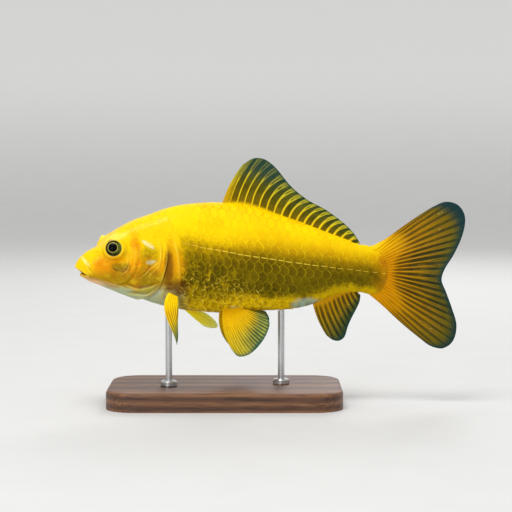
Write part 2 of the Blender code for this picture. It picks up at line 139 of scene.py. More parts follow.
def body(s, angle):
    """Points of the body at s; the angle runs from 0 on the back, over the right side, to pi on the belly."""
    top, bottom, half, widest = (smooth(STATIONS, s, k) for k in (1, 2, 3, 4))
    up = np.cos(angle)
    fullness = np.where(up > 0, smooth(FULLNESS_ABOVE, s), smooth(FULLNESS_BELOW, s))
    reach = np.where(up > 0, top - widest, widest - bottom)
    h = widest + np.sign(up) * reach * np.abs(up) ** (2 / fullness)
    out = half * np.abs(np.sin(angle)) ** (2 / fullness)
    bulge = ORBIT_RISE * (1 - ease(np.hypot(s - ORBIT_S, h - ORBIT_H) / ORBIT_RADIUS))
    bulge = bulge * ease(1.4 * out / half - 0.2)
    rise = 0.9 * bulge * ease((h - EYE_H) / 4)
    return np.stack([s + 0 * angle, np.sign(np.sin(angle)) * (out + 0.8 * bulge), h + rise], -1)


# The girth of the body at every quarter millimetre, measured round it from the middle of the back
GIRTH_STEP = 0.25
GIRTH_S = np.arange(0.0, BODY_LENGTH + GIRTH_STEP, GIRTH_STEP)
GIRTH_ANGLE = np.linspace(0.0, math.pi, 1201)
girth_points = body(GIRTH_S[:, None], GIRTH_ANGLE[None, :])
girth_steps = np.linalg.norm(np.diff(girth_points[:, :, 1:], axis=1), axis=2)
GIRTH_ARC = np.concatenate([np.zeros((len(GIRTH_S), 1)), np.cumsum(girth_steps, axis=1)], axis=1)


def girth_angles(s, arc):
    """The angles at which the girth, measured from the back, reaches each arc."""
    place = np.clip(s / GIRTH_STEP, 0, len(GIRTH_S) - 1.001)
    row = place.astype(int)
    low = np.array([np.interp(a, GIRTH_ARC[k], GIRTH_ANGLE) for a, k in zip(arc, row)])
    high = np.array([np.interp(a, GIRTH_ARC[k + 1], GIRTH_ANGLE) for a, k in zip(arc, row)])
    return mix(low, high, place - row)


AROUND = 208  # quads round the body
LIP_RINGS = 34  # from the edge of the mouth to where the snout is full
MOUTH_RINGS = 10
SNOUT_S = 8.0
HEAD_END_S = 48.0
HEAD_RINGS = 122
BODY_RINGS = 108
MOUTH_EDGE = (  # share of the half girth from the top, then s, w, h
    (0.0, 0.9, 0.0, -1.6), (0.2, 1.3, 1.6, -1.9), (0.4, 2.4, 2.9, -2.8), (0.56, 3.7, 3.7, -4.1),
    (0.66, 4.6, 4.1, -4.6), (0.76, 3.9, 3.6, -4.4), (0.88, 3.0, 2.1, -4.1), (1.0, 2.5, 0.0, -3.8),
)
LIP_PULL = (  # share, then how far the lip rolls out of the mouth's edge, as s, w, h
    (0.0, -3.6, 0.0, 1.1), (0.2, -3.1, 1.1, 1.2), (0.4, -2.0, 1.8, 1.3), (0.56, -0.8, 1.5, 0.9),
    (0.66, 0.0, 1.2, 0.0), (0.76, -0.7, 1.2, -0.8), (0.88, -1.3, 0.9, -1.0), (1.0, -1.6, 0.0, -1.1),
)
SNOUT_PULL = ((0.0, 4.8), (0.5, 3.4), (1.0, 3.2))  # share, then how far the snout runs on ahead
MOUTH_POLE = (9.0, 0.0, -4.8)

columns = np.arange(AROUND + 1)
share = np.where(columns <= AROUND / 2, columns, AROUND - columns) / (AROUND / 2)
side = np.where(columns <= AROUND / 2, 1.0, -1.0)
both_sides = np.column_stack([np.ones_like(side), side, np.ones_like(side)])


def ring_at(s):
    """One ring of the body, its points evenly spaced round the girth."""
    at = np.full(len(share), float(s))
    angles = girth_angles(at, share * np.interp(s, GIRTH_S, GIRTH_ARC[:, -1]))
    return body(at, angles) * both_sides


def drawn_round(rows):
    """A ring read from rows for the right half, and mirrored for the left."""
    return np.column_stack([smooth(rows, share, k) for k in (1, 2, 3)]) * both_sides


mouth_edge = drawn_round(MOUTH_EDGE)
lip_pull = drawn_round(LIP_PULL)
snout_ring = ring_at(SNOUT_S)
snout_run = (snout_ring - ring_at(SNOUT_S + 0.6)) / 0.6 * smooth(SNOUT_PULL, share)[:, None]
rings = []
for k in range(MOUTH_RINGS, 0, -1):
    depth = k / MOUTH_RINGS
    inward = mix(mouth_edge, np.array(MOUTH_POLE), 1 - math.cos(depth * math.pi / 2))
    inward[:, 0] = mix(mouth_edge[:, 0], MOUTH_POLE[0], math.sin(depth * math.pi / 2))
    rings.append(inward)
for k in range(LIP_RINGS):
    t = 1 - k / LIP_RINGS
    rings.append(
        snout_ring * (1 - t) ** 3
        + (snout_ring + snout_run) * 3 * t * (1 - t) ** 2
        + (mouth_edge + lip_pull) * 3 * t * t * (1 - t)
        + mouth_edge * t**3
    )
for s in np.linspace(SNOUT_S, HEAD_END_S, HEAD_RINGS, endpoint=False):
    rings.append(ring_at(s))
for s in np.linspace(HEAD_END_S, BODY_LENGTH, BODY_RINGS):
    rings.append(ring_at(s))
tail_ring = rings[-1]
tail_middle = np.array([BODY_LENGTH + 0.8, 0.0, float(tail_ring[:, 2].mean())])
for t in (0.25, 0.55, 0.8, 1.0):
    closing = mix(tail_ring, tail_middle, t)
    closing[:, 0] = mix(BODY_LENGTH, tail_middle[0], math.sin(t * math.pi / 2))
    rings.append(closing)
rings = np.array(rings)


def mesh_arrays(bm):
    """The places and the outward normals of a mesh's points."""
    bm.normal_update()
    places = np.array([v.co for v in bm.verts], float)
    normals = np.array([v.normal for v in bm.verts], float)
    return places, normals


def face_outwards(bm):
    bmesh.ops.recalc_face_normals(bm, faces=bm.faces)
    if bm.calc_volume(signed=True) < 0:
        bmesh.ops.reverse_faces(bm, faces=bm.faces)


def finished(bm, name):
    """A mesh made from the working one, which is then let go."""
    mesh = bpy.data.meshes.new(name)
    bm.to_mesh(mesh)
    bm.free()
    return mesh


def placed(name, data):
    thing = bpy.data.objects.new(name, data)
    bpy.context.collection.objects.link(thing)
    return thing


def new_piece(name, mesh, finish, slot, *nodes):
    """A finished piece: it rides on the one body, takes the finish and stands for its nodes. Its slot is not
    used.
    """
    mesh.shade_smooth()
    piece = placed(name, mesh)
    mesh.materials.append(finish)
    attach(piece, "root")
    if nodes:
        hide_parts(*nodes)
    return piece


def keep_values(mesh, name, values):
    """Keeps a number or three for each point, which the finish reads."""
    values = np.asarray(values, np.float32)
    kind, field = ("FLOAT", "value") if values.ndim == 1 else ("FLOAT_VECTOR", "vector")
    layer = mesh.attributes.new(name, kind, "POINT")
    layer.data.foreach_set(field, values.ravel())


bm = bmesh.new()
bmesh.ops.create_grid(bm, x_segments=AROUND, y_segments=len(rings) - 1, size=0.5)
ring_layer = bm.verts.layers.float.new("ring")
for v in bm.verts:
    row = round((v.co.y + 0.5) * (len(rings) - 1))
    v[ring_layer] = row
    v.co = rings[row, round((v.co.x + 0.5) * AROUND)]
bmesh.ops.remove_doubles(bm, verts=bm.verts, dist=0.0005)
face_outwards(bm)


def eye_frame(places, side):
    """Each point's distance from that side's eye's axis, and its height along it from the ball's centre."""
    axis = np.array([EYE_AXIS[0], side * EYE_AXIS[1], EYE_AXIS[2]])
    axis /= np.linalg.norm(axis)
    off = places - np.array([EYE_S, side * EYE_W, EYE_H])
    height = off @ axis
    out_from = off - height[:, None] * axis
    return np.linalg.norm(out_from, axis=1), height, axis, out_from


middles = np.array([f.calc_center_median() for f in bm.faces])
round_eyes = np.zeros(len(middles), bool)
for side_sign in (-1, 1):
    radius, height, _, _ = eye_frame(middles, side_sign)
    round_eyes |= (radius < 5.6) & (height > -2.5)
lips = (middles[:, 0] < 6.8) & (middles[:, 2] < -1.0) & (middles[:, 2] > -7.6)
bm.faces.ensure_lookup_table()
finer = {e for k in np.nonzero(round_eyes | lips)[0] for e in bm.faces[k].edges}
bmesh.ops.subdivide_edges(bm, edges=list(finer), cuts=1, use_grid_fill=True)
bmesh.ops.triangulate(bm, faces=[f for f in bm.faces if len(f.verts) > 4])
places, normals = mesh_arrays(bm)
ring_of = np.array([v[ring_layer] for v in bm.verts])
inside_mouth = ring_of < MOUTH_RINGS
S, W, H = places.T
OUT = np.abs(W)


LINE_DOTS = 90  # points that stand for a line drawn on the head


def near(line, s, h):
    """Distance from a line drawn on the fish's side, positive behind or below, and the share along it."""
    dots = along(line, np.linspace(0, 1, LINE_DOTS))
    steps = np.diff(dots, axis=0)
    best = np.full(len(s), 1e9)
    signed = np.zeros(len(s))
    share_at = np.zeros(len(s))
    for k, (dot, step) in enumerate(zip(dots[:-1], steps)):
        off_s, off_h = s - dot[0], h - dot[1]
        t = np.clip((off_s * step[0] + off_h * step[1]) / (step @ step), 0, 1)
        gap_s, gap_h = off_s - t * step[0], off_h - t * step[1]
        distance = np.hypot(gap_s, gap_h)
        closer = distance < best
        best = np.where(closer, distance, best)
        signed = np.where(closer, np.sign(step[0] * off_h - step[1] * off_s) * distance, signed)
        share_at = np.where(closer, (k + t) / (LINE_DOTS - 1), share_at)
    return signed, share_at


def ends(share_at, first, last):
    """Fades a line in over its first share and out over its last."""
    return ease(share_at / first) * ease((1 - share_at) / last)


COVER_EDGE = (
    (31.5, 21.2), (35.0, 19.4), (38.2, 15.4), (40.3, 10.5), (41.0, 5.0), (40.5, 0.5), (39.3, -4.0),
    (37.9, -9.0), (35.4, -12.9), (31.0, -15.6), (25.0, -16.4), (18.0, -14.2), (13.0, -12.0),
)
CHEEK_RIDGE = (
    (23.5, 14.5), (25.0, 11.5), (25.6, 6.5), (25.5, 1.5), (24.1, -3.0), (21.6, -6.5), (17.0, -8.2),
    (11.0, -7.6),
)
COVER_SEAM = ((27.5, -6.6), (30.5, -3.6), (33.4, -0.6), (36.8, 2.0), (38.6, 2.8))
LOWER_SEAM = ((19.5, -8.9), (22.1, -9.0), (27.5, -10.7), (31.5, -10.3), (35.6, -8.6), (38.2, -7.0))
GULLET_SEAM = ((22.0, -12.6), (26.9, -13.0), (32.2, -13.3), (36.2, -10.0))
COVER_SEAM_LOW = ((29.0, -7.2), (32.0, -4.6), (35.6, -1.2), (38.6, 0.6))
CHIN_SEAM = ((12.0, -6.6), (16.0, -8.4), (20.5, -9.6), (25.0, -11.8))
THROAT_SEAM = ((30.0, -15.6), (34.2, -13.6), (37.6, -9.4), (39.2, -5.6))
COVER_STEP = ((37.6, 12.0), (38.4, 7.0), (38.0, 2.0), (36.6, -3.6))
EYE_BONES = ((14.4, 0.9), (16.1, -1.4), (19.5, -3.0), (21.6, -2.2), (23.2, 1.0), (23.4, 5.0), (22.4, 9.0))
EYE_BONES_LOW = ((17.5, -5.0), (19.9, -5.2), (23.0, -3.2), (24.4, 1.6))
LIP_FOLD = ((2.0, 6.0), (3.5, 3.4), (4.3, 0.9), (5.2, -1.3), (6.6, -3.3), (7.4, -4.9), (6.6, -6.4))
JAW_FOLD = ((5.2, -5.9), (7.2, -6.5), (9.6, -7.0), (12.6, -7.8))
SHOULDER = ((43.5, 14.0), (45.4, 7.0), (46.2, 1.0), (46.6, -4.0), (46.9, -8.0))

# each line drawn on the head below also lays painted shade into its crease or groove and a painted highlight
# along its ridge, which the skin's colour reads
swell = np.zeros(len(places))
crease_shade = np.zeros(len(places))
ridge_highlight = np.zeros(len(places))
head = (S < 52) & ~inside_mouth
s_, h_ = S[head], H[head]

edge, at = near(COVER_EDGE, s_, h_)
strong = ease((at - 0.14) / 0.4) * ease((1 - at) / 0.25)
behind_edge = 0.85 - 1.15 * ease(edge / 0.6) + 0.3 * ease((edge - 0.6) / 4.5)
plate = np.where(edge < 0, 0.85 * ease(1 + edge / 7.0), behind_edge)
swell[head] += plate * mix(strong, 1.0, 0.1)
crease_shade[head] += 0.7 * hump((edge - 0.5) / 0.7) * strong
ridge_highlight[head] += 0.9 * hump((edge + 0.3) / 0.45) * strong
edge, at = near(CHEEK_RIDGE, s_, h_)
strong = ends(at, 0.3, 0.35)
swell[head] += strong * (0.34 * hump(edge / 2.0) - 0.22 * hump((edge - 1.9) / 1.0))
crease_shade[head] += 0.28 * strong * hump((edge - 1.9) / 0.7)
ridge_highlight[head] += 0.25 * strong * hump((edge - 0.3) / 0.7)
for line, deep, wide in (
    (COVER_SEAM, 0.2, 0.42), (COVER_SEAM_LOW, 0.14, 0.34), (LOWER_SEAM, 0.34, 0.6), (GULLET_SEAM, 0.36, 0.6),
    (CHIN_SEAM, 0.2, 0.5), (THROAT_SEAM, 0.26, 0.6), (COVER_STEP, 0.16, 0.6),
):
    edge, at = near(line, s_, h_)
    strong = ends(at, 0.3, 0.3)
    groove = hump((edge - wide * 0.4) / wide)
    swell[head] += strong * deep * (0.7 * hump((edge + wide * 1.4) / (wide * 1.8)) - groove)
    crease_shade[head] += 1.8 * deep * strong * groove + 0.1 * strong * hump(edge / wide)
    ridge_highlight[head] += (0.35 + deep) * strong * hump((edge + wide) / wide)
for line, deep in ((EYE_BONES, 0.18), (EYE_BONES_LOW, 0.12)):
    edge, at = near(line, s_, h_)
    strong = ends(at, 0.3, 0.35)
    swell[head] += strong * deep * (hump((edge + 0.6) / 1.2) - 0.9 * hump((edge - 0.5) / 0.7))
    crease_shade[head] += 2.4 * deep * strong * hump((edge - 0.2) / 0.5)
    ridge_highlight[head] += 0.6 * strong * hump((edge - 0.9) / 0.45)
edge, at = near(LIP_FOLD, s_, h_)
strong = ends(at, 0.2, 0.3)
lip_roll = 0.16 * hump((edge + 1.0) / 1.3) - 0.24 * hump((edge - 0.1) / 0.8)
swell[head] += strong * (lip_roll + 0.1 * hump((edge - 1.2) / 1.0))
crease_shade[head] += 0.38 * strong * hump((edge - 0.1) / 0.5) * ease((2.0 - h_) / 4)
ridge_highlight[head] += 0.3 * strong * hump((edge + 0.7) / 0.7)
edge, at = near(JAW_FOLD, s_, h_)
strong = ends(at, 0.2, 0.4)
swell[head] += strong * (-0.2 * hump(edge / 0.7) + 0.1 * hump((edge + 1.0) / 1.0))
crease_shade[head] += 0.22 * strong * hump(edge / 0.6)
edge, at = near(SHOULDER, s_, h_)
strong = ends(at, 0.3, 0.2)
swell[head] += strong * (0.35 * hump(edge / 1.3) - 0.25 * hump((edge - 1.4) / 0.9))
ridge_highlight[head] += 0.5 * strong * hump(edge / 0.6)

# the two flaps of each nostril, the swelling at the root of each chest fin, and the groove of the throat,
# each with painted shade in its hollow: in the nostril, round the swelling's foot and along the groove
nostril = np.hypot((S - 8.9) / 0.95, (H - 6.2) / 0.7)
pit = -0.4 * hump(nostril / 1.1) + 0.14 * hump((nostril - 1.5) / 0.7)
swell += np.where(OUT > 2.5, pit, 0.0) * ~inside_mouth
flap = np.hypot((S - 8.5) / 0.35, (H - 6.3) / 0.8)
swell += np.where(OUT > 2.5, 0.45 * hump(flap / 1.2), 0.0) * ~inside_mouth
crease_shade += np.where(OUT > 2.5, 0.35 * hump(nostril / 1.1), 0.0)
lobe = np.hypot((S - 43.6) / 3.4, (H + 14.2) / 3.4)
swell += 0.9 * hump(lobe) * (OUT > 5)
crease_shade += 0.45 * hump((lobe - 1.0) / 0.35) * (OUT > 5) * (S < 50)
throat = ease((S - 7) / 8) * ease((44 - S) / 10) * hump(OUT / 2.2) * (H < -6)
swell -= 0.7 * throat
crease_shade += 0.5 * throat

# lips: a soft roll round the mouth with a groove behind it, painted shade along the mouth's edge and a
# painted highlight on the roll
lip_edge = rings[MOUTH_RINGS]
close = (S < SNOUT_S + 1) & ~inside_mouth
gap = np.min(np.linalg.norm(places[close][:, None, :] - lip_edge[None, ::2, :], axis=2), axis=1)
swell[close] += 0.42 * hump((gap - 1.0) / 1.15)
crease_shade[close] += 0.9 * (1 - ease(gap / 0.5))
ridge_highlight[close] += 0.35 * hump((gap - 1.1) / 0.8)

# the coat of scales lies over the skin behind the head, which sinks by its depth
COAT_DEPTH = 0.42


def coat_start(h):
    return 47.4 - 4.0 * ease((h - 12.0) / 12.0)


swell -= COAT_DEPTH * ease((S - coat_start(H) + 1.5) / 3.0)
places += normals * swell[:, None]

# the eyes lie in sockets, each with a thin roll of skin round it; painted shade falls under each eye and
# round the ball's edge, and a painted highlight along the roll
for side_sign in (-1, 1):
    radius, height, axis, out_from = eye_frame(places, side_sign)
    by_eye = (radius < 7.2) & (height > -3.2) & (W * side_sign > 0)
    lid = 1.5 + 0.16 * hump((radius - 4.15) / 0.6)
    brow = ease(0.5 + 0.6 * (out_from @ np.array([-0.8, 0.0, 0.6])) / np.maximum(radius, 0.1))
    wanted = mix(lid, height, ease((radius - 4.3) / mix(2.6, 1.5, brow)))
    wanted = np.where(radius < 3.8, 1.5 - 3.6 * ease((3.8 - radius) / 0.9), wanted)
    places[by_eye] += ((wanted - height)[:, None] * axis)[by_eye]
    shade_under_eye = 0.25 * hump((radius - 5.2) / 0.8) * ease((EYE_H + 1 - H) / 3)
    crease_shade[by_eye] += (shade_under_eye + 0.5 * (radius < 3.85))[by_eye]
    ridge_highlight[by_eye] += (0.45 * hump((radius - 4.1) / 0.45))[by_eye]
    knob = np.linalg.norm(places * np.array([1, side_sign, 1]) - np.array([13.7, 8.6, 12.3]), axis=1)
    places[:, 2] += 1.15 * hump(knob / 2.1)

LATERAL_LINE = (
    (38.0, 11.6), (48.0, 10.2), (59.0, 8.0), (84.0, 3.7), (108.0, 0.0), (132.0, -3.2), (152.5, -5.6),
)
for v, place in zip(bm.verts, bent(places)):
    v.co = place
skin_mesh = finished(bm, "fish_skin")
keep_values(skin_mesh, "fish", np.column_stack([S, OUT, H]))
keep_values(skin_mesh, "rise", H - smooth(LATERAL_LINE, S))
# kept for the skin's colour: painted shade in the creases, a painted highlight on the ridges, and the inside
# of the mouth
keep_values(skin_mesh, "folds", np.column_stack([np.clip(crease_shade, 0, 1), np.clip(ridge_highlight, 0, 1), inside_mouth]))


class Wire:
    """A value in a finish, which adds and multiplies like a number."""

    def __init__(self, tree, socket=None):
        self.tree = tree
        self.socket = socket

    def node(self, kind, settings=None, sockets=None, out=0):
        """A new node of the finish: its settings first, then its sockets' values or wires."""
        made = self.tree.nodes.new("ShaderNode" + kind)
        for key, value in (settings or {}).items():
            if key == "stops":
                ramp = made.color_ramp
                while len(ramp.elements) < len(value):
                    ramp.elements.new(0.5)
                for stop, (place, colour) in zip(ramp.elements, value):
                    stop.position = place
                    stop.color = (*colour, 1.0)
            else:
                setattr(made, key, value)
        for key, value in (sockets or {}).items():
            target = made.inputs[key]
            if isinstance(value, Wire):
                self.tree.links.new(value.socket, target)
            elif isinstance(value, tuple) and target.type == "RGBA":
                target.default_value = (*value, 1.0)
            else:
                target.default_value = value
        return Wire(self.tree, made.outputs[out])

    def maths(self, operation, *values):
        return self.node("Math", {"operation": operation}, dict(enumerate(values)))

    def __add__(self, other):
        return self.maths("ADD", self, other)

    def __sub__(self, other):
        return self.maths("SUBTRACT", self, other)

    def __rsub__(self, other):
        return self.maths("SUBTRACT", other, self)

    def __mul__(self, other):
        return self.maths("MULTIPLY", self, other)

    def __truediv__(self, other):
        return self.maths("DIVIDE", self, other)

    __radd__ = __add__
    __rmul__ = __mul__

    def least(self, other):
        return self.maths("MINIMUM", self, other)

    def size(self):
        return self.maths("ABSOLUTE", self)

    def step(self, low, high):
        """0 at low and 1 at high, with a smooth step between."""
        sockets = {0: self, 1: low, 2: high, 3: 0.0, 4: 1.0}
        return self.node("MapRange", {"interpolation_type": "SMOOTHSTEP"}, sockets)

    def over(self, colour, mask):
        """This colour with another laid over it where the mask is 1."""
        return self.node("Mix", {"data_type": "RGBA"}, {0: mask, 6: self, 7: colour}, out=2)

    def tinted(self, colour, mask):
        """This colour multiplied by another where the mask is 1."""
        settings = {"data_type": "RGBA", "blend_type": "MULTIPLY"}
        return self.node("Mix", settings, {0: mask, 6: self, 7: colour}, out=2)

    def ramp(self, *stops):
        return self.node("ValToRGB", {"stops": stops}, {0: self})

    def kept(self, name, out=1):
        """A value that the mesh keeps for each of its points."""
        return self.node("Attribute", {"attribute_name": name}, out=out)

    def parts(self):
        apart = self.node("SeparateXYZ", None, {0: self})
        node = apart.socket.node
        return [Wire(self.tree, node.outputs[k]) for k in range(3)]

    def noise(self, place, scale, detail=3.0, rough=0.55):
        sockets = {"Vector": place, "Scale": scale, "Detail": detail, "Roughness": rough}
        return self.node("TexNoise", None, sockets)

    def patches(self, low, high, *noise):
        """Patches of a noise: 0 where it lies at low round its middle, and 1 at high."""
        return (self.noise(*noise) - 0.5).step(low, high)


def paint(red, green, blue):
    """A colour given as it looks, from 0 to 255, as light."""
    shares = (c / 255 for c in (red, green, blue))
    return tuple(c / 12.92 if c <= 10.3 / 255 else ((c + 0.055) / 1.055) ** 2.4 for c in shares)


def finish_of(name, constants=None):
    """A new finish, its shader with the constants set, and the wire that its nodes grow from."""
    material = bpy.data.materials.new(name)
    material.use_nodes = True
    tree = material.node_tree
    shader = tree.nodes["Principled BSDF"]
    for key, value in (constants or {}).items():
        shader.inputs[key].default_value = value
    return material, shader, Wire(tree)


def connect(shader, wire, socket):
    wire.tree.links.new(wire.socket, shader.inputs[socket])


LEMON = paint(250, 215, 0)
PEARL = paint(180, 194, 156)


def markings(start):
    """The fish's colours with painted shade and highlights among them, the same on its skin and on its
    scales.
    """
    place = start.kept("fish")
    s, out, h = place.parts()
    rise = start.kept("rise", out=2)
    cloud = start.noise(place, 0.16, 4.0) - 0.5
    fleck = start.noise(place, 0.75, 3.0) - 0.5
    # from the olive flank up to the lemon back: partly the fish's own colours, partly painted shade from
    # light falling from above, and on the flank a painted reflection of dark surroundings
    level = rise + s.step(98.0, 56.0) * 6.8 + cloud * 3.6 + fleck * 1.8
    share = (level + 36.0) / 60.0
    colour = share.ramp(
        (0.267, paint(126, 109, 0)), (0.46, paint(120, 103, 0)), (0.55, paint(118, 98, 0)),
        (0.60, paint(138, 112, 0)), (0.65, paint(168, 134, 0)), (0.70, paint(208, 164, 0)),
        (0.767, paint(241, 200, 0)), (0.833, LEMON),
    )
    low_edge = rise + 19.8 - (s - 66).step(0, 24) * 1.6 - s.step(98.0, 134.0) * 10.6
    low = (low_edge + cloud * 7.0 + fleck * 5.0).step(2.4, -2.4)
    shade = start.patches(-0.18, 0.18, place, 0.30, 3.0, 0.6) * rise.step(5.0, 0.0)
    colour = colour.tinted(paint(186, 190, 120), shade * 0.5)
    warm_back = (cloud + fleck * 2.0).step(0.0, 0.5) * rise.step(5.0, 12.0)
    colour = colour.tinted(paint(244, 226, 190), warm_back * 0.5)
    moss = start.patches(-0.1, 0.14, place, 0.9, 4.0, 0.65) * rise.step(3.0, -2.0)
    rust = start.patches(0.02, 0.16, place, 1.3, 3.0, 0.6) * rise.step(4.0, 0.0)
    colour = colour.tinted(paint(196, 220, 140), moss * 0.5)
    colour = colour.over(paint(150, 106, 0), rust * 0.35)
    freckle = start.patches(0.03, 0.12, place, 2.3, 2.0) * rise.step(9.0, 5.0) * rise.step(-1.0, 2.0)
    colour = colour.tinted(paint(206, 184, 110), freckle * 0.6)
    colour = colour.over(paint(216, 180, 0), low * (0.45 + (s + cloud * 12.0).step(68.0, 82.0) * 0.5))
    shine = (cloud + fleck * 0.9).step(-0.06, 0.26) * rise.step(-2.0, -9.0) * s.step(92.0, 58.0)
    colour = colour.over(paint(206, 172, 0), shine * 0.85)
    keel = (h + cloud * 4.0 + fleck * 2.0).step(-15.0, -20.0) * s.step(46.0, 56.0) * s.step(112.0, 102.0)
    colour = colour.over(paint(255, 216, 20), keel * 0.82)

    ragged = start.noise(place, 0.42, 5.0, 0.65) - 0.5

    def spot(at_s, at_h, wide, high, soft=0.6, lean=0.0):
        off_s, off_h = s - at_s, h - at_h
        across = (off_s * math.cos(lean) + off_h * math.sin(lean)) / wide
        up = (off_h * math.cos(lean) - off_s * math.sin(lean)) / high
        return (across * across + up * up + ragged * 3.0 + cloud * 1.0).step(1.0 + soft * 1.6, 1.0 - soft)

    def dabbed(under, *dabs):
        """A colour with dabs of others over it, each in its spot and at its strength."""
        for dab, where, strength in dabs:
            under = under.over(paint(*dab), spot(*where) * strength)
        return under

    on_head = (s + cloud * 9.0 + ragged * 5.0).step(53.0, 43.0)
    head_level = h + cloud * 3.0 + fleck * 1.2
    face = ((head_level + 20.0) / 40.0).ramp(
        (0.0, PEARL), (0.20, paint(206, 200, 130)), (0.27, paint(190, 154, 10)), (0.36, paint(196, 154, 0)),
        (0.46, paint(232, 168, 0)), (0.56, paint(246, 186, 0)), (0.68, paint(250, 208, 0)), (1.0, LEMON),
    )
    face = face.over(paint(250, 208, 0), (s + cloud * 4.0).step(12.0, 6.0) * h.step(-5.5, -2.5))
    speck = start.noise(place, 1.15, 4.0, 0.75)
    glitter = speck.step(0.4, 0.6)
    face = dabbed(
        face,
        ((240, 152, 0), (11.0, -0.8, 3.5, 3.9, 0.8), 0.85),
        ((246, 160, 0), (15.4, 2.4, 4.6, 1.5, 0.8), 0.6),
        ((176, 134, 0), (17.5, -6.2, 8.5, 3.4, 0.95), 0.7),
        ((150, 118, 0), (19.6, -0.8, 3.9, 1.9, 0.8), 0.8),
        ((124, 96, 0), (19.8, -1.9, 3.0, 0.6, 0.9), 0.6),
        ((248, 170, 0), (26.6, 0.0, 2.2, 13.0, 0.95), 0.75),
        ((146, 128, 4), (32.4, 4.4, 3.6, 4.4, 0.9), 0.45 + (speck - 0.5).step(-0.06, 0.12) * 0.45),
        ((144, 114, 0), (31.5, -7.0, 6.6, 5.4, 0.95), 0.45 + (speck - 0.5).step(-0.08, 0.12) * 0.4),
        # two pale patches on the gill cover, flecked by the glitter: painted highlights
        ((250, 250, 215), (32.2, 9.6, 2.6, 0.9, 0.7, -0.6), 0.3 + glitter * 0.45),
        ((198, 214, 190), (33.3, 1.5, 2.0, 0.9, 0.7, 0.1), 0.35 + glitter * 0.35),
        # a pale band over each eye: a painted highlight
        ((255, 238, 110), (17.4, 13.4, 4.4, 1.3, 0.95, 0.2), out.step(2.5, 5.5) * 0.5),
    )
    drift = start.noise(place, 0.22, 3.0, 0.55) - 0.5
    mid_face = spot(26.0, 1.0, 13.0, 12.0, 0.9)
    face = face.tinted(paint(232, 176, 90), drift.step(0.02, 0.16) * mid_face * 0.5)
    face = face.over(paint(255, 218, 40), drift.step(-0.04, -0.16) * mid_face * 0.35)
    # a pale patch on the upper lip: a painted highlight
    lip_highlight = spot(3.4, 2.3, 2.6, 0.7, 0.8, -0.95) * out.step(0.9, 2.4)
    face = face.over(paint(255, 248, 190), lip_highlight * (0.1 + speck.step(0.38, 0.62) * 0.5))
    under = (h + s * 0.30 + 4.2 + cloud * 2.4 + fleck).step(1.1, -1.5) * s.step(43.0, 36.0)
    face = face.over(paint(238, 190, 146), under * s.step(18.0, 9.0))
    face = face.over(PEARL, under * s.step(8.0, 17.0))
    face = dabbed(
        face,
        # a pale bluish patch low on the gill membranes: a painted highlight
        ((172, 200, 190), (36.6, -13.4, 1.5, 1.9, 0.7, -0.8), 0.3 + glitter * 0.4),
        ((176, 170, 30), (30.0, -12.6, 5.0, 1.0, 0.8, 0.15), 0.6),
        ((196, 130, 60), (15.5, -9.6, 3.4, 1.0, 0.9, -0.45), 0.45),
    )
    colour = dabbed(
        colour.over(face, on_head),
        ((226, 150, 0), (42.6, 2.0, 2.2, 9.0, 0.9), 0.7),
        ((122, 80, 0), (41.6, -2.5, 1.9, 8.5, 0.9), 0.88),
        ((250, 180, 0), (46.8, -1.0, 1.6, 8.0, 0.9), 0.6),
        ((112, 70, 6), (46.6, -10.8, 4.6, 3.4, 0.9), 0.85),
        ((156, 194, 196), (111.0, -20.4, 6.0, 3.0, 0.9), 0.85),
    )
    root = ((h + cloud * 3.0 + 16.0) / 24.0).ramp(
        (0.1, paint(176, 122, 0)), (0.55, paint(192, 134, 0)), (0.78, paint(222, 164, 0)),
        (0.95, paint(250, 206, 0)),
    )
    colour = colour.over(root, (s + cloud * 8.0 + fleck * 4.0).step(141.0, 149.5) * 0.9)
    colour = dabbed(
        colour,
        ((176, 92, 0), (148.0, 0.6, 2.2, 2.6, 0.9), 0.5),
        ((220, 214, 160), (76.0, -22.0, 2.6, 1.6, 0.8), 0.55),
    )
    return colour, place, rise


skin_finish, shader, start = finish_of(
    "wet_skin", {"Coat Weight": 0.11, "Coat Roughness": 0.07, "Specular IOR Level": 0.04},
)
colour, place, _ = markings(start)
s, _, h = place.parts()
crease_shade_mask, ridge_highlight_mask, mouth_mask = start.kept("folds").parts()
on_cheek = h.step(10.0, 4.0)
grain = start.noise(place, 2.6, 4.0, 0.6)
veins = start.noise(place, 0.9, 5.0, 0.7)
colour = colour.tinted(paint(232, 206, 150), (veins - 0.5).step(0.0, 0.2) * on_cheek * 0.5)
on_crown = h.step(12.0, 18.0) * s.step(50.0, 40.0)
colour = colour.tinted(paint(232, 190, 96), (veins - 0.5).step(-0.08, 0.16) * on_crown * 0.5)
# a painted highlight along the ridges and painted shade in the creases and grooves
colour = colour.over(paint(255, 236, 90), ridge_highlight_mask * 0.45)
colour = colour.tinted(paint(160, 100, 0), crease_shade_mask * 0.85)
colour = colour.tinted(paint(232, 222, 200), (grain - 0.5).step(-0.05, 0.25) * 0.6)
colour = colour.over(paint(120, 58, 44), mouth_mask)
connect(shader, colour, "Base Color")
connect(shader, 0.30 + grain * 0.22 + crease_shade_mask * 0.2, "Roughness")
pits = start.node("TexVoronoi", None, {"Vector": place, "Scale": 1.7})
surface = start.node("Bump", None, {"Strength": 0.35, "Distance": 0.0003, "Height": grain + pits * 0.25})
connect(shader, surface, "Normal")
new_piece(
    "fish_skin", skin_mesh, skin_finish, "skin",
    "head", "upper_lip", "lower_jaw", "gill_cover_left", "gill_cover_right", "trunk", "tail_stalk",
)

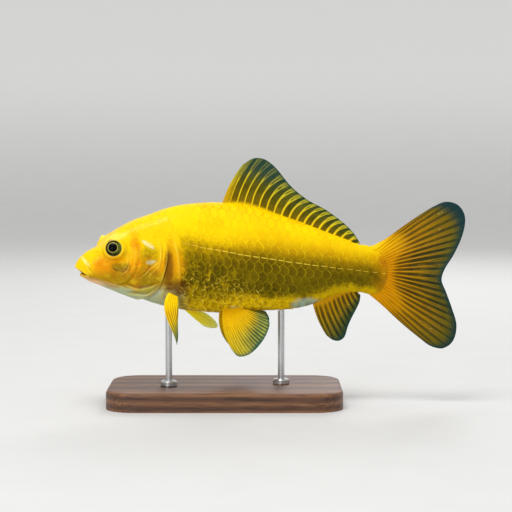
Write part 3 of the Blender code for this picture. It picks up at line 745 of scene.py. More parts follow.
# ---------------------------------------------------------------- the scales
# Fifteen rows a side, of up to twenty-six scales each, laid like roof tiles with their free ends towards
# the tail. Each is a thin domed plate of bone in its own pocket of skin. The scales of the lateral line
# carry a raised pore. The left and right sides are one coat each.
ROW_STEP = ((47.0, 4.7), (85.0, 4.6), (110.0, 4.25), (130.0, 3.6), (152.5, 3.4))  # s, then across the rows
SCALE_STEP = 4.05
SCALE_LENGTH = 8.6
SCALE_THICK = 0.12
SCALE_SLOPE = 0.046
LONG_CUTS = 3
CROSS_CUTS = 8
ROWS = range(-9, 8)  # counted up from the lateral line's row, which is 0
ROW_SCALES = 31
FIRST_S = 36.0
LAST_S = 150.0
BAKE_LENGTH = 120.0  # millimetres of the body along the bake map, and round the body across it
BAKE_GIRTH = 84.0
BAKE_SHARE_LONG = 0.72  # a scale's patch on that map, as a share of the distance to the next scale
BAKE_SHARE_ROUND = 0.40
random = np.random.default_rng(11)


def body_normals(s, angle):
    ahead = np.minimum(s + 0.4, BODY_LENGTH)
    lengthwise = body(ahead, angle) - body(ahead - 0.8, angle)
    crosswise = body(s, angle + 0.012) - body(s, angle - 0.012)
    found = np.cross(lengthwise, crosswise)
    found /= np.linalg.norm(found, axis=-1)[..., None]
    inward = np.sum(found * np.stack([0 * s, np.sin(angle), np.cos(angle)], -1), -1) < 0
    return np.where(inward[..., None], -found, found)


def line_arc(s):
    """How far round from the back the lateral line lies."""
    s = np.clip(s, 0, BODY_LENGTH)
    height = smooth(LATERAL_LINE, s)
    row = np.clip(np.round(s / GIRTH_STEP).astype(int), 0, len(GIRTH_S) - 1)
    return np.array([np.interp(-a, -girth_points[k, :, 2], GIRTH_ARC[k]) for a, k in zip(height, row)])


LINE_ARC = line_arc(GIRTH_S)


def lay_scales(side_sign, name):
    centres = []
    for row in ROWS:
        first = FIRST_S + (SCALE_STEP / 2 if row % 2 else 0.0)
        for k in range(ROW_SCALES):
            apex = first + k * SCALE_STEP + random.normal(0, 0.13)
            middle = apex - SCALE_STEP / 2
            pitch = smooth(ROW_STEP, middle)
            row_arc = np.interp(middle, GIRTH_S, LINE_ARC) - row * pitch
            arc = row_arc + random.normal(0, 0.08)
            whole = np.interp(middle, GIRTH_S, GIRTH_ARC[:, -1])
            if not 0.25 * pitch < arc < whole - 0.25 * pitch or apex > LAST_S:
                continue
            angle = girth_angles(np.array([middle]), np.array([arc]))
            h = body(np.array([middle]), angle)[0, 2]
            if middle < coat_start(h):
                continue
            young = mix(0.8, 1.0, ease((middle - coat_start(h)) / 9.0))
            young *= mix(1.0, 0.85, ease((apex - 140.0) / 10.0))
            centres.append((apex, row, arc - row_arc, pitch, row == 0, young, h))
    centres = np.array(centres, float)
    bm = bmesh.new()
    for _ in centres:
        bmesh.ops.create_grid(bm, x_segments=LONG_CUTS, y_segments=CROSS_CUTS, size=1.0)
    mesh = finished(bm, name)
    count = (LONG_CUTS + 1) * (CROSS_CUTS + 1)
    flat = np.array([v.co for v in mesh.vertices], float).reshape(len(centres), count, 3)
    a = ((flat[:, :, 0] + 1) / 2) ** 0.6
    b = flat[:, :, 1]
    apex, row, stray, pitch, pored, young, height = (column[:, None] for column in centres.T)
    chance = random.random((len(centres), 4))[:, None, :]
    pitch = pitch * young
    recede = 3.6 * ease((np.abs(b) - 0.06) / 0.94) * (1 + 0.08 * (chance[:, :, 1] - 0.5))
    length = SCALE_LENGTH * np.minimum(pitch / 4.5, 1.0)
    s = apex - recede - (length - recede) * (1 - a)
    s_on = np.clip(s, 0.0, BODY_LENGTH)
    arc = np.interp(s_on, GIRTH_S, LINE_ARC) - row * smooth(ROW_STEP, s_on) + stray
    half_up = np.clip(arc + 0.1, 0.1, 1.04 * pitch)
    half_down = np.clip(np.interp(s_on, GIRTH_S, GIRTH_ARC[:, -1]) - arc + 0.1, 0.1, 1.04 * pitch)
    round_at = arc - np.where(b > 0, half_up * b, half_down * b) * mix(0.92, 1.0, a)
    angle = girth_angles(s_on.ravel(), round_at.ravel()).reshape(s.shape)
    flatter = mix(1.0, 0.48, ease((height - smooth(LATERAL_LINE, apex) - 2.0) / 6.0))
    flatter = flatter * mix(0.5, 1.0, ease((148.0 - apex) / 10.0))
    lift = flatter * (-SCALE_SLOPE * (apex - s) - 0.07 * b * b) + 0.02 * (chance[:, :, 2] - 0.5)
    lift = lift + pored * 0.10 * hump(b / 0.45) * hump((a - 0.8) / 0.2)
    on_body = body(s_on, angle)
    points = on_body + body_normals(s_on, angle) * lift[:, :, None]
    points[:, :, 0] += s - s_on
    points[:, :, 1] *= side_sign
    mesh.vertices.foreach_set("co", bent(points.reshape(-1, 3)).ravel())
    where = on_body.reshape(-1, 3)
    keep_values(mesh, "fish", where)
    keep_values(mesh, "rise", where[:, 2] - smooth(LATERAL_LINE, where[:, 0]))
    keep_values(mesh, "lie", np.stack([a, b, np.broadcast_to(chance[:, :, 0], a.shape)], -1).reshape(-1, 3))
    keep_values(mesh, "pore", np.broadcast_to(pored, a.shape).ravel())
    unwrap = mesh.uv_layers.new(name="OFBake")
    u = (apex - 40.0) / BAKE_LENGTH + (a - 0.5) * BAKE_SHARE_LONG * SCALE_STEP / BAKE_LENGTH
    v = 0.5 + (stray - row * smooth(ROW_STEP, apex)) / BAKE_GIRTH + b * BAKE_SHARE_ROUND * pitch / BAKE_GIRTH
    corners = np.empty(len(mesh.loops), np.int32)
    mesh.loops.foreach_get("vertex_index", corners)
    unwrapped = np.stack([u.ravel()[corners], v.ravel()[corners]], -1)
    unwrap.data.foreach_set("uv", unwrapped.astype(np.float32).ravel())
    bm = bmesh.new()
    bm.from_mesh(mesh)
    raised = points + body_normals(s_on, angle) * np.array([1, side_sign, 1])
    outward = bent(raised.reshape(-1, 3)) - bent(points.reshape(-1, 3))
    bm.normal_update()
    bm.verts.ensure_lookup_table()
    if Vector(outward[count // 2]).dot(bm.verts[count // 2].normal) < 0:
        bmesh.ops.reverse_faces(bm, faces=bm.faces)
    for edge in bm.edges:
        edge.smooth = not edge.is_boundary
    bm.to_mesh(mesh)
    bm.free()
    piece = new_piece(name, mesh, scale_finish, "skin")
    wall = piece.modifiers.new("Wall", "SOLIDIFY")
    wall.thickness = SCALE_THICK * MM
    wall.offset = -1.0


scale_finish, shader, start = finish_of(
    "scales", {"Coat Weight": 0.03, "Coat Roughness": 0.15, "Specular IOR Level": 0.04},
)
colour, place, rise = markings(start)
s = place.parts()[0]
front, across, chance = start.kept("lie").parts()
pore = start.kept("pore", out=2)
fine = start.noise(place, 3.2, 4.0, 0.6)
rim = (front + (fine - 0.5) * 0.05).step(0.935, 0.97)
on_flank = rise.step(5.0, 1.0)
on_shoulder = rise.step(2.0, 5.0) * rise.step(12.0, 7.0)
near_tail = s.step(112.0, 146.0)
net = start.patches(-0.16, 0.14, place, 0.35, 2.0)
on_belly = rise.step(-13.0, -16.0)
sparks = start.patches(0.03, 0.11, place, 0.7, 2.0) * on_belly
settled = s.step(45.0, 62.0)
colour = colour.tinted(paint(244, 220, 150), chance * rise.step(2.0, 8.0) * (0.15 + settled * 0.32))
colour = colour.tinted(paint(226, 222, 190), chance * on_flank * 0.7)
# each flank scale darker towards its front, under the edge of the scale ahead: partly the scales' own dark
# centres, partly painted shade
deep = 0.2 + s.step(100.0, 70.0) * 0.32
colour = colour.tinted(paint(206, 200, 130), front.step(0.88, 0.62) * on_flank * deep)
# belly scales darker in patches at their fronts, under the edge of the scale ahead: partly their own colour,
# partly painted shade
belly_shade_patches = start.patches(-0.05, 0.15, place, 0.5, 3.0)
belly_under_edge_shade = front.step(0.84, 0.62) * on_belly * (belly_shade_patches * 0.4 + chance * 0.15)
colour = colour.tinted(paint(186, 150, 80), belly_under_edge_shade)
mottle = start.patches(-0.01, 0.07, place, 0.8, 4.0, 0.7) * rise.step(-9.0, -13.0)
colour = colour.tinted(paint(176, 172, 110), mottle * s.step(112.0, 90.0) * 0.7)
upper_rows = rise.step(-9.0, -2.0)
broken = start.patches(-0.2, 0.1, place, 1.4, 2.0)
net_strength = (0.06 + net * 0.24 + upper_rows * 0.18 + chance * 0.2) * (0.3 + broken * 0.7)
colour = colour.over(paint(222, 194, 20), rim * on_flank * net_strength * (1.0 - near_tail * 0.65))
fan = (across / (front - 0.28) * 1.5 + chance * 2.0).maths("PINGPONG", 0.5).step(0.09, 0.02)
fan_here = front.step(0.58, 0.68) * front.step(0.99, 0.9) * rise.step(6.5, 3.5) * rise.step(-1.5, 1.5)
colour = colour.over(paint(240, 206, 30), fan * fan_here * (0.14 + broken * 0.34))
colour = colour.over(paint(255, 226, 30), rim * on_shoulder * (0.1 + net * 0.5))
# on the back, a fine darker line along each scale's rear edge: a painted shadow
back_rim_shadow = front.step(0.86, 0.98) * rise.step(6.0, 12.0) * settled * (0.2 + rise.step(15.0, 21.0) * 0.4)
colour = colour.tinted(paint(238, 204, 110), back_rim_shadow)
soft_rim = front.step(0.80, 0.93) * rise.step(4.0, 6.0) * rise.step(11.0, 8.5) * s.step(100.0, 80.0)
colour = colour.over(paint(255, 228, 0), soft_rim * net * 0.5)
long_way = start.node(
    "Mapping", None, {"Vector": place, "Rotation": (0.0, 0.6, 0.0), "Scale": (1.1, 1.1, 2.6)},
)
glint = start.patches(0.06, 0.13, long_way, 0.38, 3.0, 0.6) * rise.step(-9.0, -14.0) * s.step(92.0, 76.0)
colour = colour.over(paint(226, 190, 50), glint * 0.35)
# broken gold strokes low on the flank and bright rims on the belly's scales: painted glints
lean = chance * 3.1 + 0.2
glint_stroke_at = front * lean.maths("COSINE") * 2.2 + across * lean.maths("SINE") * 1.1
glint_stroke = (glint_stroke_at * 1.3 + chance * 5.0).maths("PINGPONG", 0.5).step(0.075, 0.02)
patchy = start.patches(0.0, 0.12, place, 0.5, 3.0, 0.7)
glint_strokes_here = glint_stroke * patchy * rise.step(-8.0, -12.0) * s.step(102.0, 84.0) * front.step(0.55, 0.62)
colour = colour.over(paint(240, 204, 70), glint_strokes_here * (0.3 + broken * 0.6))
colour = colour.over(paint(248, 220, 90), sparks * rim * s.step(104.0, 88.0) * 0.8)
dash = (across + (fine - 0.5) * 0.06).size().step(0.07, 0.02)
dash = dash * front.step(0.56, 0.64) * front.step(0.97, 0.9) * pore
dash_bright = 0.45 + s.step(52.0, 68.0) * 0.4 - s.step(108.0, 132.0) * 0.3
colour = colour.over(paint(244, 212, 70), dash * dash_bright)
connect(shader, colour, "Base Color")
connect(shader, 0.36 + fine * 0.20, "Roughness")
streaks = start.node(
    "TexWave", {"bands_direction": "Y"}, {"Vector": start.kept("lie"), "Scale": 3.4, "Distortion": 1.0},
)
surface = start.node("Bump", None, {"Strength": 0.3, "Distance": 0.0002, "Height": streaks * 0.4 + fine})
connect(shader, surface, "Normal")
lay_scales(-1, "scales_left")
lay_scales(1, "scales_right")

# ------------------------------------------------------------------- the eyes
# Each eye is a slightly flattened ball that hardly moves in its socket: a black pupil with a thin gold ring
# round it, a dark olive iris flecked with gold, a pale outer rim, and a clear wet front over them all.
EYE_RADIUS = 4.2
EYE_DEPTH = 3.2
PUPIL_OFF = (-0.32, 0.0, 0.26)  # the pupil lies a little ahead of and above the middle, as s, w and h

eye_finish, shader, start = finish_of("eye", {
    "Roughness": 0.25, "Specular IOR Level": 0.02,
    "Coat Weight": 0.25, "Coat Roughness": 0.03, "Coat IOR": 1.3,
})
from_axis, from_pupil, behind = start.kept("iris").parts()
fibres = start.noise(start.node("TexCoord", out=3), 1100.0, 4.0, 0.7)
iris = (from_axis / 4.0).ramp(
    (0.5, paint(78, 78, 16)), (0.7, paint(56, 56, 8)), (0.85, paint(34, 34, 4)), (1.0, paint(80, 66, 10)),
)
iris = iris.over(paint(112, 128, 44), behind.step(0.1, 0.8) * from_axis.step(3.6, 3.2) * 0.8)
iris = iris.over(paint(150, 148, 60), (fibres - 0.5).step(0.04, 0.2) * 0.5)
iris = iris.over(paint(26, 34, 6), (fibres - 0.5).step(-0.02, -0.16) * 0.8)
iris = iris.over(paint(244, 236, 170), from_axis.step(3.62, 3.78))
iris = iris.over(paint(196, 186, 92), (from_pupil - 2.26).size().step(0.15, 0.07))
iris = iris.over((0.0, 0.0, 0.0), from_pupil.step(2.17, 2.09))
connect(shader, iris, "Base Color")


def make_eye(side_sign, name, node):
    bm = bmesh.new()
    bmesh.ops.create_uvsphere(bm, u_segments=72, v_segments=48, radius=1)
    ball = np.array([v.co for v in bm.verts], float)
    from_axis = np.hypot(ball[:, 0], ball[:, 1]) * EYE_RADIUS
    front = ball[:, 2] > 0
    clear_front = 0.16 * hump(from_axis / 2.4) + 0.1 * hump((from_axis - 3.6) / 0.3)
    ball[:, 2] = ball[:, 2] * EYE_DEPTH + np.where(front, clear_front, 0.0)
    ball[:, :2] *= EYE_RADIUS
    look = Vector((EYE_AXIS[0], side_sign * EYE_AXIS[1], EYE_AXIS[2]))
    turned = ball @ np.array(look.to_track_quat("Z", "Y").to_matrix()).T
    axis = np.array(look.normalized())
    aside = turned - (turned @ axis)[:, None] * axis - np.array(PUPIL_OFF)
    from_pupil = np.linalg.norm(aside, axis=1)
    reading = [np.where(front, far, EYE_RADIUS) for far in (from_axis, from_pupil)]
    reading.append(turned[:, 0] / EYE_RADIUS)
    turned += np.array([EYE_S, side_sign * EYE_W, EYE_H])
    for v, place in zip(bm.verts, bent(turned)):
        v.co = place
    face_outwards(bm)
    mesh = finished(bm, name)
    keep_values(mesh, "iris", np.column_stack(reading))
    new_piece(name, mesh, eye_finish, "eyes", node)


make_eye(-1, "eyeball_left", "eye_left")
make_eye(1, "eyeball_right", "eye_right")

# ------------------------------------------------------------------- the fins
# Each fin is a fold of thin skin over soft jointed rays, which fork once or twice on their way to the margin.
# The skin between the rays is dark olive, painted shade that stands for the dark seen through the thin skin,
# and it turns to a thin bluish hem at the margin.


def back_root(s, sink):
    return np.stack([s, smooth(STATIONS, s, 1) - sink], -1)


def belly_root(s, sink):
    return np.stack([s, smooth(STATIONS, s, 2) + sink], -1)


def bowed(root, tip, v, bow):
    """Points on rays from root to tip that bow to one side by a share of their length."""
    reach = tip - root
    aside = np.stack([reach[:, 1], -reach[:, 0]], -1)
    return root + reach * v[:, None] + aside * (bow * 4 * v * (1 - v))[:, None]


def make_fin(name, node, point, rays, columns, rows, thick, flesh, look, fill, gaps, hem, cool):
    """A fin whose point(u, v) runs over the rays from 0 to 1 and from root to margin.

    fill, gaps, hem and cool give, at each u and v, how much of the fin its rays fill, how dark the skin
    between them is painted, as shade for the dark seen through it, and how far the margin's blue and the
    olive of the rear have come in.
    """
    bm = bmesh.new()
    bmesh.ops.create_grid(bm, x_segments=columns, y_segments=rows, size=0.5)
    mesh = finished(bm, name)
    flat = np.array([v.co for v in mesh.vertices], float)
    u, v = flat[:, 0] + 0.5, flat[:, 1] + 0.5
    ray_at = u * (rays - 1)
    habit = random.random((rays + 1, 4))[np.round(ray_at).astype(int)]
    gap_habit = random.random(rays + 1)[np.floor(ray_at + 0.0001).astype(int)]
    fork = 0.38 + 0.16 * habit[:, 0]
    sway = 0.10 * (habit[:, 1] - 0.5) * ease(v / 0.5)
    off = np.abs(ray_at - np.round(ray_at) - sway)
    off = np.abs(off - 0.15 * ease((v - fork) / 0.35))
    off = np.abs(off - 0.07 * ease((v - fork - 0.27) / 0.22))
    wide = fill(u, v) * (0.42 + 0.16 * habit[:, 2]) * (1 - 0.34 * ease((v - fork) / 0.3))
    wide = wide * (1 - 0.25 * ease((v - fork - 0.27) / 0.2))
    ray = ease(1.25 * (1 - off / wide))
    dark = (1 - ray) * gaps(u, v) * (0.93 + 0.07 * gap_habit)
    keep_values(mesh, "spread", np.column_stack([u, v, ray]))
    keep_values(mesh, "shade", np.column_stack([1 - dark, hem(u, v), cool(u, v)]))
    middle = point(u, v)
    nudge = 0.004
    over_u = point(np.minimum(u + nudge, 1), v) - point(np.maximum(u - nudge, 0), v)
    over_v = point(u, np.minimum(v + nudge, 1)) - point(u, np.maximum(v - nudge, 0))
    facing = np.cross(over_u, over_v)
    facing /= np.linalg.norm(facing, axis=1)[:, None]
    body_of_ray = mix(thick, 0.30, ease(v * 1.15)) * (0.35 + 0.65 * ray)
    half = (0.10 + 0.5 * np.maximum(body_of_ray - 0.1, 0.02)) * mix(1.0, 0.55, ease((v - 0.86) / 0.14))
    half = half + flesh * (1 - ease(v / 0.32)) ** 1.5
    edge_ray = np.minimum(u, 1 - u) * (rays - 1)
    half = half * mix(1.0, 0.3, ease(1 - edge_ray / 0.5))
    sheet = placed(name + "_sheet", mesh)
    wall = sheet.modifiers.new("Wall", "SOLIDIFY")
    wall.thickness = 0.1
    wall.offset = 0.0
    solid = bpy.data.meshes.new_from_object(sheet.evaluated_get(bpy.context.evaluated_depsgraph_get()))
    bpy.data.objects.remove(sheet)
    both = np.concatenate([middle + facing * half[:, None], middle - facing * half[:, None]])
    solid.vertices.foreach_set("co", bent(both).ravel())
    bm = bmesh.new()
    bm.from_mesh(solid)
    face_outwards(bm)
    bm.to_mesh(solid)
    bm.free()
    solid.name = name
    new_piece(name, solid, look, "fins", node)


FIN_SURFACE = {"Coat Weight": 0.05, "Coat Roughness": 0.15, "Specular IOR Level": 0.05}


def fin_finish(name, colours, fade=0.36, constants=None):
    """A fin's finish from its colours: the rays from root to margin, the skin between likewise, the hem, then
    the rays and the skin of the part that differs. In patches the skin takes the rays' colour, by fade."""
    finish, shader, start = finish_of(name, {**FIN_SURFACE, **(constants or {})})
    root, ray, ray_tip, web_root, web, web_tip, hem, cool_ray, cool_web = (paint(*c) for c in colours)
    _, v, ray_here = start.kept("spread").parts()
    shade, hem_here, cool_here = start.kept("shade").parts()
    place = start.node("TexCoord", out=3)
    speckle = start.noise(place, 900.0, 3.0) - 0.5
    lengthwise = start.node("Mapping", None, {"Vector": start.kept("spread"), "Scale": (70.0, 4.0, 0.0)})
    streak = start.noise(lengthwise, 1.0, 3.0, 0.6) - 0.5
    reach = v + speckle * 0.16 + streak * 0.12
    rays = reach.ramp((0.0, root), (0.12, root), (0.5, ray), (1.0, ray_tip)).over(cool_ray, cool_here)
    # the skin between the rays; where it is dark, that is painted shade for the dark seen through the thin
    # skin
    webs = reach.ramp((0.0, web_root), (0.4, web), (1.0, web_tip)).over(cool_web, cool_here)
    broad = start.node("Mapping", None, {"Vector": start.kept("spread"), "Scale": (20.0, 2.6, 0.0)})
    faded = start.patches(0.0, 0.2, broad, 1.0, 3.0, 0.6)
    colour = webs.over(rays, (shade + faded * fade).least(1.0))
    colour = colour.tinted(paint(196, 176, 110), streak.step(0.0, 0.2) * v.step(0.0, 0.2) * 0.7)
    # pale streaks along the crests of the rays: a painted highlight
    crest_highlight = ray_here.step(0.75, 1.0) * (streak + speckle * 0.6).step(0.12, 0.32)
    colour = colour.over(paint(238, 222, 140), crest_highlight * 0.45)
    colour = colour.over(hem, (hem_here + speckle * 0.3 * hem_here).least(1.0) * 0.9)
    connect(shader, colour, "Base Color")
    connect(shader, 0.42 + speckle * 0.2, "Roughness")
    across = {"Vector": start.kept("spread"), "Scale": 12.0, "Distortion": 0.4}
    joints = start.node("TexWave", {"bands_direction": "Y"}, across)
    height = joints * ray_here + speckle * 0.5 + streak
    surface = start.node("Bump", None, {"Strength": 0.35, "Distance": 0.00015, "Height": height})
    connect(shader, surface, "Normal")
    return finish


DORSAL_S = (70.4, 134.5)
DORSAL_MARGIN = (
    (80.6, 46.8), (85.9, 49.7), (91.0, 49.2), (96.1, 45.4), (103.5, 36.5), (111.3, 30.1),
    (120.5, 25.0), (129.9, 17.9), (134.2, 13.2), (136.8, 8.9),
)


def dorsal_point(u, v):
    root = back_root(mix(*DORSAL_S, u), 1.5)
    tip = along(DORSAL_MARGIN, u + 0.05 * np.sin(math.pi * u))
    p = bowed(root, tip, v, -0.05 - 0.10 * ease(u / 0.35) + 0.05 * ease((u - 0.8) / 0.2))
    wave = 1.1 * np.sin(2.2 * math.pi * u + 0.6) * v * v
    return np.column_stack([p[:, 0], wave, p[:, 1]])


TAIL_ROOT = ((143.5, 6.6), (148.0, 2.4), (149.8, -5.0), (148.0, -12.0), (143.5, -16.4))
TAIL_MARGIN = (
    (171.0, 26.4), (177.5, 29.0), (183.4, 27.4), (186.6, 22.0), (185.6, 13.7), (181.6, 4.3), (177.2, -3.0),
    (175.8, -8.2), (177.8, -13.6), (180.7, -21.5), (183.0, -30.0), (181.4, -37.6), (176.6, -41.3),
    (171.0, -40.4), (166.0, -37.0),
)


def tail_point(u, v):
    p = bowed(along(TAIL_ROOT, u), along(TAIL_MARGIN, u), v, mix(-0.02, 0.02, u))
    fillet = ease(1 - np.minimum(u, 1 - u) / 0.06) * np.maximum(1 - v / 0.3, 0) ** 2
    p += fillet[:, None] * np.stack([-3.2 + 0 * u, mix(0.2, 1.6, u)], -1)
    return np.column_stack([p[:, 0], 2.0 * np.cos(2 * math.pi * u) * v * v, p[:, 1]])


ANAL_S = (113.9, 135.0)
ANAL_MARGIN = (
    (120.8, -35.4), (123.8, -37.6), (126.9, -38.0), (129.4, -36.2), (131.2, -30.8), (133.0, -26.7),
    (134.9, -23.0), (136.6, -19.2), (137.1, -15.9),
)


def anal_point(u, v):
    p = bowed(belly_root(mix(*ANAL_S, u), 1.6), along(ANAL_MARGIN, u), v, 0.05 + 0 * u)
    return np.column_stack([p[:, 0], 0.8 * np.sin(3 * u) * v * v, p[:, 1]])


PELVIC_S = (70.4, 78.5)
PELVIC_W = 5.5
PELVIC_SPLAY = 0.42
PELVIC_MARGIN = (
    (74.4, -41.0), (76.9, -43.4), (79.9, -43.7), (83.5, -42.6), (87.0, -40.0), (90.4, -36.0),
    (92.6, -31.8), (93.3, -28.2), (91.6, -24.6),
)


def pelvic_point(side_sign):
    def point(u, v):
        root = belly_root(mix(*PELVIC_S, u), 2.6)
        p = bowed(root, along(PELVIC_MARGIN, u), v, mix(0.11, 0.0, u))
        out = PELVIC_W + PELVIC_SPLAY * (root[:, 1] - p[:, 1]) + 1.6 * u * v
        return np.column_stack([p[:, 0], side_sign * out, p[:, 1]])

    return point


PECTORAL_LEFT = (
    ((41.8, -11.6, -13.2), (42.0, -27.0, -36.0)), ((43.9, -11.4, -14.4), (43.5, -23.2, -33.2)),
    ((46.2, -11.0, -15.6), (44.5, -18.6, -29.4)),
)
PECTORAL_RIGHT = (
    ((42.4, 11.4, -13.2), (67.8, 21.5, -36.0)), ((43.8, 11.4, -15.0), (70.5, 19.6, -33.3)),
    ((45.2, 11.0, -16.6), (67.5, 16.5, -27.0)),
)


def pectoral_point(rays, lead_bow, trail_bow, rounded=0.0):
    def point(u, v):
        root = along([r[0] for r in rays], u)
        tip = along([r[1] for r in rays], u)
        reach = v * (1 - rounded * np.abs(2 * u - 1) ** 3)
        bow = mix(np.array(lead_bow), np.array(trail_bow), u[:, None])
        return root + (tip - root) * reach[:, None] + bow * (6.75 * reach * (1 - reach) ** 2)[:, None]

    return point


back_fin_look = fin_finish("back_fin", (
    (250, 212, 0), (230, 204, 24), (180, 180, 56), (112, 90, 0), (70, 68, 6),
    (36, 62, 30), (22, 60, 58), (196, 150, 0), (150, 116, 0),
), fade=0.06)
tail_fin_look = fin_finish("tail_fin", (
    (214, 150, 0), (164, 120, 0), (62, 76, 20), (142, 96, 0), (54, 48, 6),
    (26, 44, 26), (10, 50, 56), (246, 202, 0), (226, 172, 0),
))
vent_fin_look = fin_finish("vent_fin", (
    (204, 150, 0), (164, 132, 10), (96, 98, 32), (120, 88, 0), (78, 62, 4),
    (34, 50, 26), (26, 60, 54), (62, 74, 30), (30, 44, 24),
))
paired_fin_look = fin_finish("paired_fins", (
    (240, 194, 0), (250, 208, 10), (206, 188, 40), (210, 160, 0), (176, 138, 4),
    (104, 100, 20), (34, 84, 70), (160, 166, 74), (40, 64, 30),
))
near_chest_look = fin_finish("near_chest_fin", (
    (252, 216, 0), (250, 202, 8), (206, 188, 40), (238, 190, 0), (190, 146, 4),
    (104, 100, 20), (34, 84, 70), (160, 166, 74), (40, 64, 30),
))
# the far chest fin takes brighter colours than the other paired fins: painted light, for the light that comes
# through the thin fin
far_fin_brightened_look = fin_finish("far_chest_fin_brightened", (
    (255, 204, 0), (255, 208, 16), (240, 204, 50), (250, 182, 0), (240, 190, 14),
    (196, 170, 34), (44, 92, 76), (210, 196, 84), (104, 112, 50),
), constants={"Subsurface Weight": 0.7, "Subsurface Scale": 0.003, "Subsurface Radius": (1.0, 1.0, 0.4)})
make_fin(
    "back_fin", "dorsal_fin", dorsal_point, 19, 18 * 14, 70, 1.3, 0.5, back_fin_look,
    fill=lambda u, v: mix(0.25, 0.46, ease((u - 0.15) / 0.7)),
    gaps=lambda u, v: ease((v - 0.02) / 0.1) * mix(0.35, 1.0, ease((u - 0.01) / 0.06)),
    hem=lambda u, v: np.maximum(
        ease((v - 0.90) / 0.1) * mix(0.55, 1.0, ease(1 - np.abs(u - 0.25) / 0.3)),
        0.84 * ease((v - 0.44) / 0.42) * ease(1 - np.abs(u - 0.17) / 0.24),
    ),
    cool=lambda u, v: 0.8 * ease(1 - u / 0.11) * ease(1 - v / 0.9),
)
make_fin(
    "tail_fan", "tail_fin", tail_point, 26, 25 * 14, 96, 1.7, 1.0, tail_fin_look,
    fill=lambda u, v: mix(0.5, 0.86, ease((np.abs(u - 0.5) - 0.10) / 0.25)),
    gaps=lambda u, v: ease((v - mix(0.04, 0.24, ease((np.abs(u - 0.5) - 0.1) / 0.3))) / 0.16)
    * mix(1.0, 0.8, ease((np.abs(u - 0.5) - 0.12) / 0.25)) * (1 - 0.4 * ease((v - 0.8) / 0.2)),
    hem=lambda u, v: ease((v - mix(0.87, 0.79, ease(1 - np.abs(u - 0.12) / 0.2))) / 0.15),
    cool=lambda u, v: ease(1 - u / 0.3) * ease(1 - v / 0.42),
)
make_fin(
    "vent_fin", "anal_fin", anal_point, 11, 10 * 14, 60, 1.3, 0.5, vent_fin_look,
    fill=lambda u, v: mix(0.8, 0.6, ease(u / 0.6)),
    gaps=lambda u, v: ease((v - 0.08) / 0.14),
    hem=lambda u, v: ease((v - 0.84) / 0.16) * ease((u + 0.1) / 0.3),
    cool=lambda u, v: 0.9 * ease((v - 0.5) / 0.4) * ease((u - 0.05) / 0.3),
)


def belly_cool(u, v):
    tip = 0.6 * ease((v - 0.8) / 0.2) * ease((0.3 - u) / 0.3)
    return ease((v - 0.42) / 0.4) * ease((u - 0.1) / 0.5) + tip


def belly_gaps(u, v):
    return ease((v - 0.12) / 0.45) * mix(0.7, 1.0, ease((u - 0.2) / 0.4))


def belly_hem(u, v):
    return 0.8 * ease((v - 0.9) / 0.1) + 0.5 * ease((v - 0.8) / 0.2) * ease(1 - np.abs(u - 0.5) / 0.18)


for side_name, side_sign in (("left", -1), ("right", 1)):
    make_fin(
        "belly_fin_" + side_name, "pelvic_fin_" + side_name, pelvic_point(side_sign), 21, 20 * 10, 60,
        1.2, 0.5, paired_fin_look, fill=lambda u, v: mix(0.62, 0.48, ease((v - 0.3) / 0.4)),
        gaps=belly_gaps, hem=belly_hem,
        cool=belly_cool,
    )
make_fin(
    "chest_fin_left", "pectoral_fin_left", pectoral_point(PECTORAL_LEFT, (-3.2, 0.0, 0.0), (0.4, 0.0, 0.0)),
    7, 6 * 20, 60, 1.2, 0.5, near_chest_look, fill=lambda u, v: 0.66 + 0 * u,
    gaps=lambda u, v: ease((v - 0.12) / 0.4), hem=lambda u, v: 0.8 * ease((v - 0.76) / 0.24),
    cool=lambda u, v: np.maximum(0.95 * ease((v - 0.55) / 0.4), 0.5 * ease((u - 0.7) / 0.3) * ease(v / 0.5)),
)
make_fin(
    "chest_fin_right", "pectoral_fin_right",
    pectoral_point(PECTORAL_RIGHT, (0.0, 1.5, 1.2), (0.0, 1.5, -1.0), 0.13),
    9, 8 * 16, 60, 1.2, 0.5, far_fin_brightened_look, fill=lambda u, v: 0.56 + 0 * u,
    gaps=lambda u, v: ease((v - 0.2) / 0.4), hem=lambda u, v: 0.6 * ease((v - 0.93) / 0.07),
    cool=lambda u, v: ease((v - 0.6) / 0.4) * ease((u + 0.2) / 0.5),
)

# ------------------------------------------------------------------ the stand
# A plain display stand: a low base of oiled walnut with eased edges, and two thin rods of brushed steel,
# each in a turned foot, that hold the fish up from below.
wood_finish, shader, start = finish_of("oiled_walnut")
place = start.node("TexCoord", out=3)
stretched = start.node("Mapping", None, {"Vector": place, "Scale": (6.0, 60.0, 60.0)})
from_heart = start.node(
    "Mapping", None, {"Vector": place, "Location": (0.0, 0.03, 0.09), "Scale": (0.10, 1.0, 1.0)},
)
years = start.node(
    "TexWave", {"wave_type": "RINGS", "rings_direction": "X"},
    {"Vector": from_heart, "Scale": 75.0, "Distortion": 3.0, "Detail": 3.0, "Detail Scale": 0.6},
)
grain = start.noise(stretched, 4.0, 6.0, 0.6) * 0.6 + years * 0.4
pores = start.noise(start.node("Mapping", None, {"Vector": place, "Scale": (60.0, 900.0, 900.0)}), 1.0, 3.0)
wood = grain.ramp((0.2, paint(64, 38, 22)), (0.5, paint(102, 64, 38)), (0.8, paint(134, 92, 58)))
wood = wood.tinted(paint(150, 130, 110), pores.step(0.5, 0.62) * 0.6)
connect(shader, wood, "Base Color")
connect(shader, 0.38 + pores * 0.2, "Roughness")
surface = start.node("Bump", None, {"Strength": 0.25, "Distance": 0.0002, "Height": grain + pores})
connect(shader, surface, "Normal")
steel_finish, shader, start = finish_of("brushed_steel", {"Metallic": 1.0})
place = start.node("TexCoord", out=3)
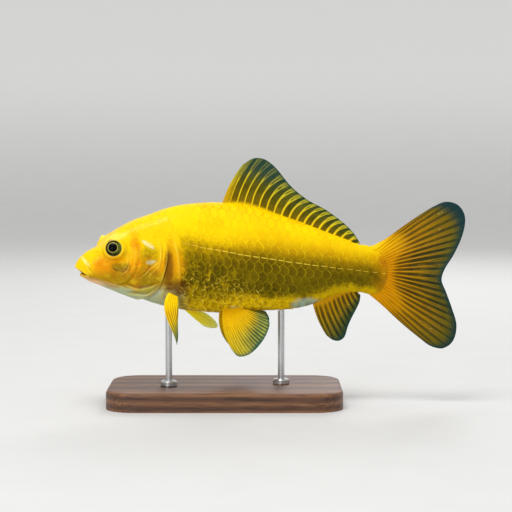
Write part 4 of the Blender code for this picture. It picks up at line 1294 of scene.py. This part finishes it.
round_rod = start.node("Mapping", None, {"Vector": place, "Scale": (300.0, 300.0, 4000.0)})
brushed = start.noise(round_rod, 1.0, 3.0)
steel = brushed.ramp((0.3, paint(184, 186, 188)), (0.7, paint(200, 201, 202)))
connect(shader, steel, "Base Color")
connect(shader, 0.26 + brushed * 0.08, "Roughness")
for node, finish in (
    ("stand_base", wood_finish), ("stand_rod_front", steel_finish), ("stand_rod_rear", steel_finish),
):
    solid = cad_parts[node]
    solid.data.materials.clear()
    solid.data.materials.append(finish)

# -------------------------------------------------------- the floor and light
# A plain pale floor that turns up into a plain pale wall on every side, under soft studio lights.
FLOOR_RADIUS = 1.6
COVE_RADIUS = 0.7
WALL_TOP = 1.0
COVE_STEPS = 12
floor_finish, shader, start = finish_of("pale_floor", {"Roughness": 0.8})
dust = start.noise(start.node("TexCoord", out=3), 30.0, 2.0)
height = start.node("TexCoord", out=3).parts()[2]
pale = dust.ramp((0.0, (0.64, 0.64, 0.63)), (1.0, (0.68, 0.68, 0.67)))
connect(shader, pale.over((0.88, 0.88, 0.875), height.step(0.0, 0.25)), "Base Color")
bm = bmesh.new()
profile = [bm.verts.new((0.0, 0.0, 0.0)), bm.verts.new((FLOOR_RADIUS, 0.0, 0.0))]
for k in range(1, COVE_STEPS + 1):
    lean = k / COVE_STEPS * math.pi / 2
    far, up = FLOOR_RADIUS + COVE_RADIUS * math.sin(lean), COVE_RADIUS - COVE_RADIUS * math.cos(lean)
    profile.append(bm.verts.new((far, 0.0, up)))
profile.append(bm.verts.new((FLOOR_RADIUS + COVE_RADIUS, 0.0, WALL_TOP)))
outline = [bm.edges.new(pair) for pair in zip(profile, profile[1:])]
bmesh.ops.spin(
    bm, geom=profile + outline, cent=(0, 0, 0), axis=(0, 0, 1), angle=2 * math.pi, steps=96, use_merge=True,
)
bmesh.ops.remove_doubles(bm, verts=bm.verts, dist=0.0001)
bmesh.ops.recalc_face_normals(bm, faces=bm.faces)
mesh = finished(bm, "floor")
mesh.shade_smooth()
mesh.materials.append(floor_finish)
placed("floor", mesh)


def soft_light(name, place, target, size, power):
    lamp = bpy.data.lights.new(name, "AREA")
    lamp.shape = "DISK"
    lamp.size = size
    lamp.energy = power
    light = placed(name, lamp)
    light.location = place
    light.rotation_euler = (Vector(target) - Vector(place)).to_track_quat("-Z", "Y").to_euler()


soft_light("overhead", (-0.12, -0.25, 0.78), (0.0, 0.0, 0.07), 0.36, 2.6)
soft_light("front", (-0.45, -0.95, 0.30), (0.0, 0.0, 0.07), 0.50, 2.6)
soft_light("behind", (0.20, 0.80, 0.60), (0.0, 0.0, 0.08), 0.45, 2.4)
world = bpy.data.worlds.new("studio")
world.use_nodes = True
world.node_tree.nodes["Background"].inputs[0].default_value = (1.0, 1.0, 1.0, 1.0)
world.node_tree.nodes["Background"].inputs[1].default_value = 0.78
bpy.context.scene.world = world
bpy.context.scene.view_settings.view_transform = "Standard"

# ----------------------------------------------------------------- the camera
# A long lens, a little above the level of the fish, square to its left side.
camera_data = bpy.data.cameras.new("camera")
camera_data.lens = 120.0
camera_data.sensor_width = 36.0
camera = placed("camera", camera_data)
LOOK_AT = Vector((0.01488, 0.0, 0.07088))
RAISED = math.radians(4.0)
CAMERA_DISTANCE = 0.8192
camera.location = LOOK_AT + Vector((0.0, -math.cos(RAISED), math.sin(RAISED))) * CAMERA_DISTANCE
camera.rotation_euler = (LOOK_AT - camera.location).to_track_quat("-Z", "Y").to_euler()
camera_data.clip_end = 20.0
bpy.context.scene.camera = camera
